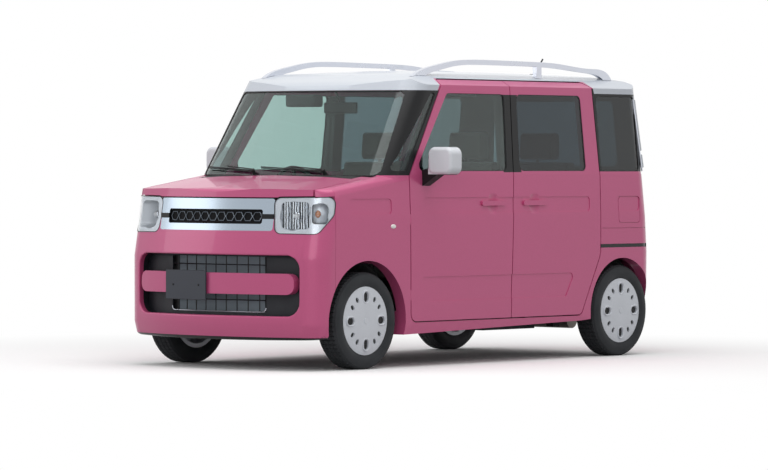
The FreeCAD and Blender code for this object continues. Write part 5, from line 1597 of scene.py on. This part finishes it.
@dataclass
class RoadWheel:
    """One tyre with its tread and one pressed cover.

    An oval opening is given as its reach from the middle, its half length and its half width.
    """

    wagon: Wagon
    corner: str
    tread_depth: float = 6.0 * MILLIMETRE
    groove: float = 7.0 * MILLIMETRE
    sectors: int = 64
    lip_depth: float = 10.0 * MILLIMETRE
    smooth: float = 40.0
    cover_edge: float = 1.6 * MILLIMETRE
    slot_middle: float = 0.136
    slot_rise: float = 0.009
    slot_round: float = 0.0265
    slot_points: int = 24
    face: float = 0.0730
    bead: float = 0.006
    vent_turns: Point = (0.0, 33.0, 57.0)
    no_slot: Point = (0.0, 0.0, 0.0)
    vent: Point = (0.1425, 0.0175, 0.0125)
    vent_reach: float = 20.0 * MILLIMETRE
    # Black plates of painted shade behind the large slots and the small vents: their sizes and how deep they
    # sit.
    slot_backing: Span = (0.0325, 0.0235)
    vent_backing: Point = (0.1425, 0.0215, 0.0165)
    backing_depth: Span = (0.012, 0.0085)
    cap_depth: Span = (0.012, 0.0035)
    cap_radius: float = 17.5 * MILLIMETRE
    cap_edge: float = 2.0 * MILLIMETRE

    # Half of the tyre's section: shares of its half width and of its radius, from bead to shoulder.
    SIDEWALL = ((0.84, 0.70), (0.99, 0.78), (1.0, 0.84), (0.97, 0.91), (0.88, 0.965))
    # Edges of the tread's ribs as shares of the half width, and the share that bounds lip and tread.
    RIBS = (0.76, 0.40)
    INNER = 0.80
    # Faces farther out than this share of the groove's radius are tread.
    TREAD = 0.985

    def build(self) -> None:
        """Makes the tyre and the cover of this corner."""
        low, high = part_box("tyre_" + self.corner)
        self.tyre(low, high)
        centre = (low + high) / 2
        cutter = self.vents(centre)
        cover = self.wagon.panel("wheel_" + self.corner, COVER_SILVER, self.cover_edge, cutter=cutter)
        cover.name = "cover_" + self.corner
        self.surrounds(centre)
        self.shadows(centre)

    def ovals(self, centre: Vector, inner: float, outer: float, large: Point, small: Point) -> Piece:
        """Oval plugs at the cover's openings.

        Args:
            centre: Middle of the wheel.
            inner: Inner face, out from the wheel's middle.
            outer: Outer face.
            large: Size of the four large ones; no length leaves them out.
            small: Size of the eight small ones.

        Returns:
            All plugs in one piece.
        """
        side = math.copysign(1, centre.x)
        plugs = []
        for quarter in range(4):
            for (reach, long, wide), turn in zip((large, small, small), self.vent_turns):
                if not long:
                    continue
                plug = Bench.bar((side * inner, 0, 0), (side * outer, 0, 0), 1.0, sides=28)
                angle = math.radians(turn) + math.pi / 2 * quarter
                plug.data.transform(
                    Matrix.Translation(centre) @ Matrix.Rotation(angle, 4, "X")
                    @ Matrix.Translation((0, 0, reach)) @ Matrix.Diagonal((1.0, wide, long, 1.0))
                )
                plugs.append(plug)
        return Bench.join(plugs)

    def vents(self, centre: Vector) -> Piece:
        """Cutter that opens the eight small vents to their full oval size."""
        inner, outer = self.face - self.vent_reach, self.face + self.vent_reach
        return self.ovals(centre, inner, outer, self.no_slot, self.vent)

    def shadows(self, centre: Vector) -> None:
        """Puts black plates behind the openings as painted shade of the wheel inside, and the cap on the
        middle.

        Args:
            centre: Middle of the wheel.
        """
        # Black plates behind the openings: painted shade.
        inner, outer = [self.face - depth for depth in self.backing_depth]
        slot = (self.slot_middle, *self.slot_backing)
        painted_shade_plugs = self.ovals(centre, inner, outer, slot, self.vent_backing)
        side = Vector((math.copysign(1, centre.x), 0, 0))
        sunk, proud = self.cap_depth
        start, end = centre + side * (self.face - sunk), centre + side * (self.face + proud)
        cap = Bench.bar(start, end, self.cap_radius, sides=32)
        body = self.wagon.body("wheel_" + self.corner)
        self.wagon.dress(Bench.soften(cap, self.cap_edge), "centre_cap_" + self.corner, COVER_SILVER, body)
        self.wagon.dress(painted_shade_plugs, "wheel_behind_" + self.corner, RUBBER, body)

    def surrounds(self, centre: Vector) -> None:
        """Lays a raised bead round each large slot of the cover.

        Args:
            centre: Middle of the wheel.
        """
        side = math.copysign(1, centre.x)
        points = []
        for step in range(self.slot_points):
            angle = 2 * math.pi * step / self.slot_points
            lift = self.slot_middle + (self.slot_rise if math.sin(angle) > 0 else -self.slot_rise)
            across, up = self.slot_round * math.cos(angle), lift + self.slot_round * math.sin(angle)
            points.append(Vector((side * self.face, across, up)))
        beads = []
        for quarter in range(4):
            turn = Matrix.Rotation(math.pi / 2 * quarter, 3, "X")
            beads.append(Bench.tube([centre + turn @ point for point in points], self.bead, True))
        body = self.wagon.body("wheel_" + self.corner)
        self.wagon.dress(Bench.join(beads), "slot_beads_" + self.corner, COVER_SILVER, body)

    def tyre(self, low: Vector, high: Vector) -> None:
        """Spins the tyre's profile and raises its tread blocks.

        Args:
            low: Lowest corner of the tyre's node.
            high: Highest corner of the tyre's node.
        """
        centre = (low + high) / 2
        half = (high.x - low.x) / 2
        outer = (high.z - low.z) / 2
        base = outer - self.tread_depth
        lip = self.SIDEWALL[0][1] * outer - self.lip_depth
        right = [(share * half, reach * outer) for share, reach in self.SIDEWALL]
        right += [(share * half, base) for share in self.RIBS]
        profile = [(-x, reach) for x, reach in right] + [(0.0, base)] + right[::-1]
        profile += [(self.INNER * half, lip), (-self.INNER * half, lip)]
        piece = Bench.flat([centre + Vector((x, 0, reach)) for x, reach in profile], "NOTHING")
        with Bench.editing("SELECT"):
            bpy.ops.mesh.spin(steps=self.sectors, angle=2 * math.pi, center=centre, axis=(1, 0, 0))
        Bench.outward(piece)
        Bench.unselect("FACE")
        for face in piece.data.polygons:
            reach = math.hypot(face.center.y - centre.y, face.center.z - centre.z)
            face.select = reach > self.TREAD * base and abs(face.center.x - centre.x) < self.INNER * half
        with Bench.editing():
            bpy.ops.mesh.inset(thickness=self.groove / 2, use_individual=True)
            bpy.ops.transform.shrink_fatten(value=self.tread_depth)
        bpy.ops.object.shade_smooth_by_angle(angle=math.radians(self.smooth))
        Bench.settle(piece, "tread_" + self.corner, TYRE)
        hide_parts("tyre_" + self.corner)
        self.wagon.add(piece, self.wagon.body("tyre_" + self.corner))


@dataclass
class Stage:
    """Pale floor, plain light and the camera of the photograph."""

    camera_place: Point = (17.0134, -20.8505, 1.2135)
    turn: float = 39.329
    pitch: float = -0.973
    roll: float = 0.149
    focal: float = 209.17
    sensor: float = 36.0
    shift: Span = (-0.0009, -0.0017)
    far_clip: float = 200.0
    floor_half: float = 60.0
    floor_level: float = -0.5 * MILLIMETRE
    white_near: float = 1.9
    white_far: float = 4.5
    floor_bounce: str = "8A8A8C"
    floor_roughness: float = 0.9
    world_level: float = 0.62

    # Name, place, target, width in metres and power in watts of each soft lamp.
    LAMPS = (
        ("overhead", (1.0, -1.0, 6.5), (0.0, 0.0, 0.8), 6.0, 200.0),
        ("front_left", (5.5, -7.5, 3.2), (0.3, -0.5, 0.8), 4.0, 95.0),
        ("front_right", (-6.0, -6.0, 3.0), (-0.3, -0.8, 0.9), 3.5, 60.0),
    )

    def build(self) -> None:
        """Makes floor, light and camera."""
        self.floor()
        self.world()
        self.lamps()
        self.camera()

    def floor(self) -> None:
        """Lays the pale floor, which shows as white and keeps the car's shadow."""
        Bench.clear()
        bpy.ops.mesh.primitive_plane_add(size=2 * self.floor_half, location=(0, 0, self.floor_level))
        plane = bpy.context.object
        plane.name = "floor"
        material = bpy.data.materials.new("pale_studio_floor")
        material.use_nodes = True
        tree = material.node_tree
        shader = tree.nodes["Principled BSDF"]
        shader.inputs["Roughness"].default_value = self.floor_roughness
        shader.inputs["Specular IOR Level"].default_value = 0.0
        place = add_node(tree, "ShaderNodeTexCoord")
        reach = add_node(
            tree, "ShaderNodeVectorMath", links={0: place.outputs["Object"]}, operation="LENGTH"
        )
        far = add_node(
            tree, "ShaderNodeMapRange", {"From Min": self.white_near, "From Max": self.white_far},
            {"Value": reach.outputs["Value"]}, interpolation_type="SMOOTHSTEP",
        )
        seen = self.seen(tree)
        tones = {6: linear(self.floor_bounce), 7: WHITE}
        tone = add_node(tree, "ShaderNodeMix", tones, {0: seen}, data_type="RGBA")
        tree.links.new(tone.outputs[2], shader.inputs["Base Color"])
        share = add_node(tree, "ShaderNodeMath", links={0: far.outputs[0], 1: seen}, operation="MULTIPLY")
        glow = add_node(tree, "ShaderNodeEmission", {"Color": WHITE})
        blend = add_node(
            tree, "ShaderNodeMixShader",
            links={0: share.outputs[0], 1: shader.outputs[0], 2: glow.outputs[0]},
        )
        tree.links.new(blend.outputs[0], tree.nodes["Material Output"].inputs["Surface"])
        plane.data.materials.append(material)

    @staticmethod
    def seen(tree: Tree) -> Socket:
        """Tells where the camera, gloss or glass looks.

        Args:
            tree: Node tree that gets the nodes.

        Returns:
            Output that is one there and zero elsewhere.
        """
        path = add_node(tree, "ShaderNodeLightPath").outputs
        total = path["Is Camera Ray"]
        for ray in ("Is Glossy Ray", "Is Transmission Ray"):
            both = {0: total, 1: path[ray]}
            total = add_node(tree, "ShaderNodeMath", links=both, operation="MAXIMUM").outputs[0]
        return total

    def world(self) -> None:
        """Lights the scene softly and shows white to the camera, gloss and glass."""
        world = bpy.data.worlds.new("studio")
        bpy.context.scene.world = world
        world.use_nodes = True
        tree = world.node_tree
        back = tree.nodes["Background"]
        back.inputs["Color"].default_value = WHITE
        levels = {"To Min": self.world_level, "To Max": 1.0}
        level = add_node(tree, "ShaderNodeMapRange", levels, {"Value": self.seen(tree)})
        tree.links.new(level.outputs[0], back.inputs["Strength"])

    def lamps(self) -> None:
        """Hangs three large soft lamps."""
        for name, place, target, size, power in self.LAMPS:
            lamp = bpy.data.lights.new(name, "AREA")
            lamp.size = size
            lamp.energy = power
            held = bpy.data.objects.new(name, lamp)
            bpy.context.scene.collection.objects.link(held)
            held.location = place
            held.rotation_euler = (Vector(target) - Vector(place)).to_track_quat("-Z", "Y").to_euler()

    def camera(self) -> None:
        """Sets the camera at the photograph's place and angle."""
        data = bpy.data.cameras.new("camera")
        data.lens = self.focal
        data.sensor_width = self.sensor
        data.shift_x, data.shift_y = self.shift
        data.clip_end = self.far_clip
        holder = bpy.data.objects.new("camera", data)
        bpy.context.scene.collection.objects.link(holder)
        turned = (
            Matrix.Rotation(math.radians(self.turn), 4, "Z")
            @ Matrix.Rotation(math.radians(90 + self.pitch), 4, "X")
            @ Matrix.Rotation(math.radians(self.roll), 4, "Z")
        )
        holder.matrix_world = Matrix.Translation(self.camera_place) @ turned
        bpy.context.scene.camera = holder


def corners() -> list[str]:
    """Names of the four wheel corners."""
    return [f"{end}_{side.word}" for end in ("front", "rear") for side in Side]


def main() -> None:
    logging.basicConfig(level=logging.INFO, format="%(message)s")
    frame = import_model()
    wagon = Wagon(frame)
    for assembly in (PlainNodes, Panels, Seals, Lamps, Nose, Tail, Seats, Trim):
        assembly(wagon).build()
    for corner in corners():
        RoadWheel(wagon, corner).build()
    Stage().build()
    bpy.context.scene.view_settings.view_transform = "Standard"
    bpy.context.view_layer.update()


if __name__ == "__main__":
    main()
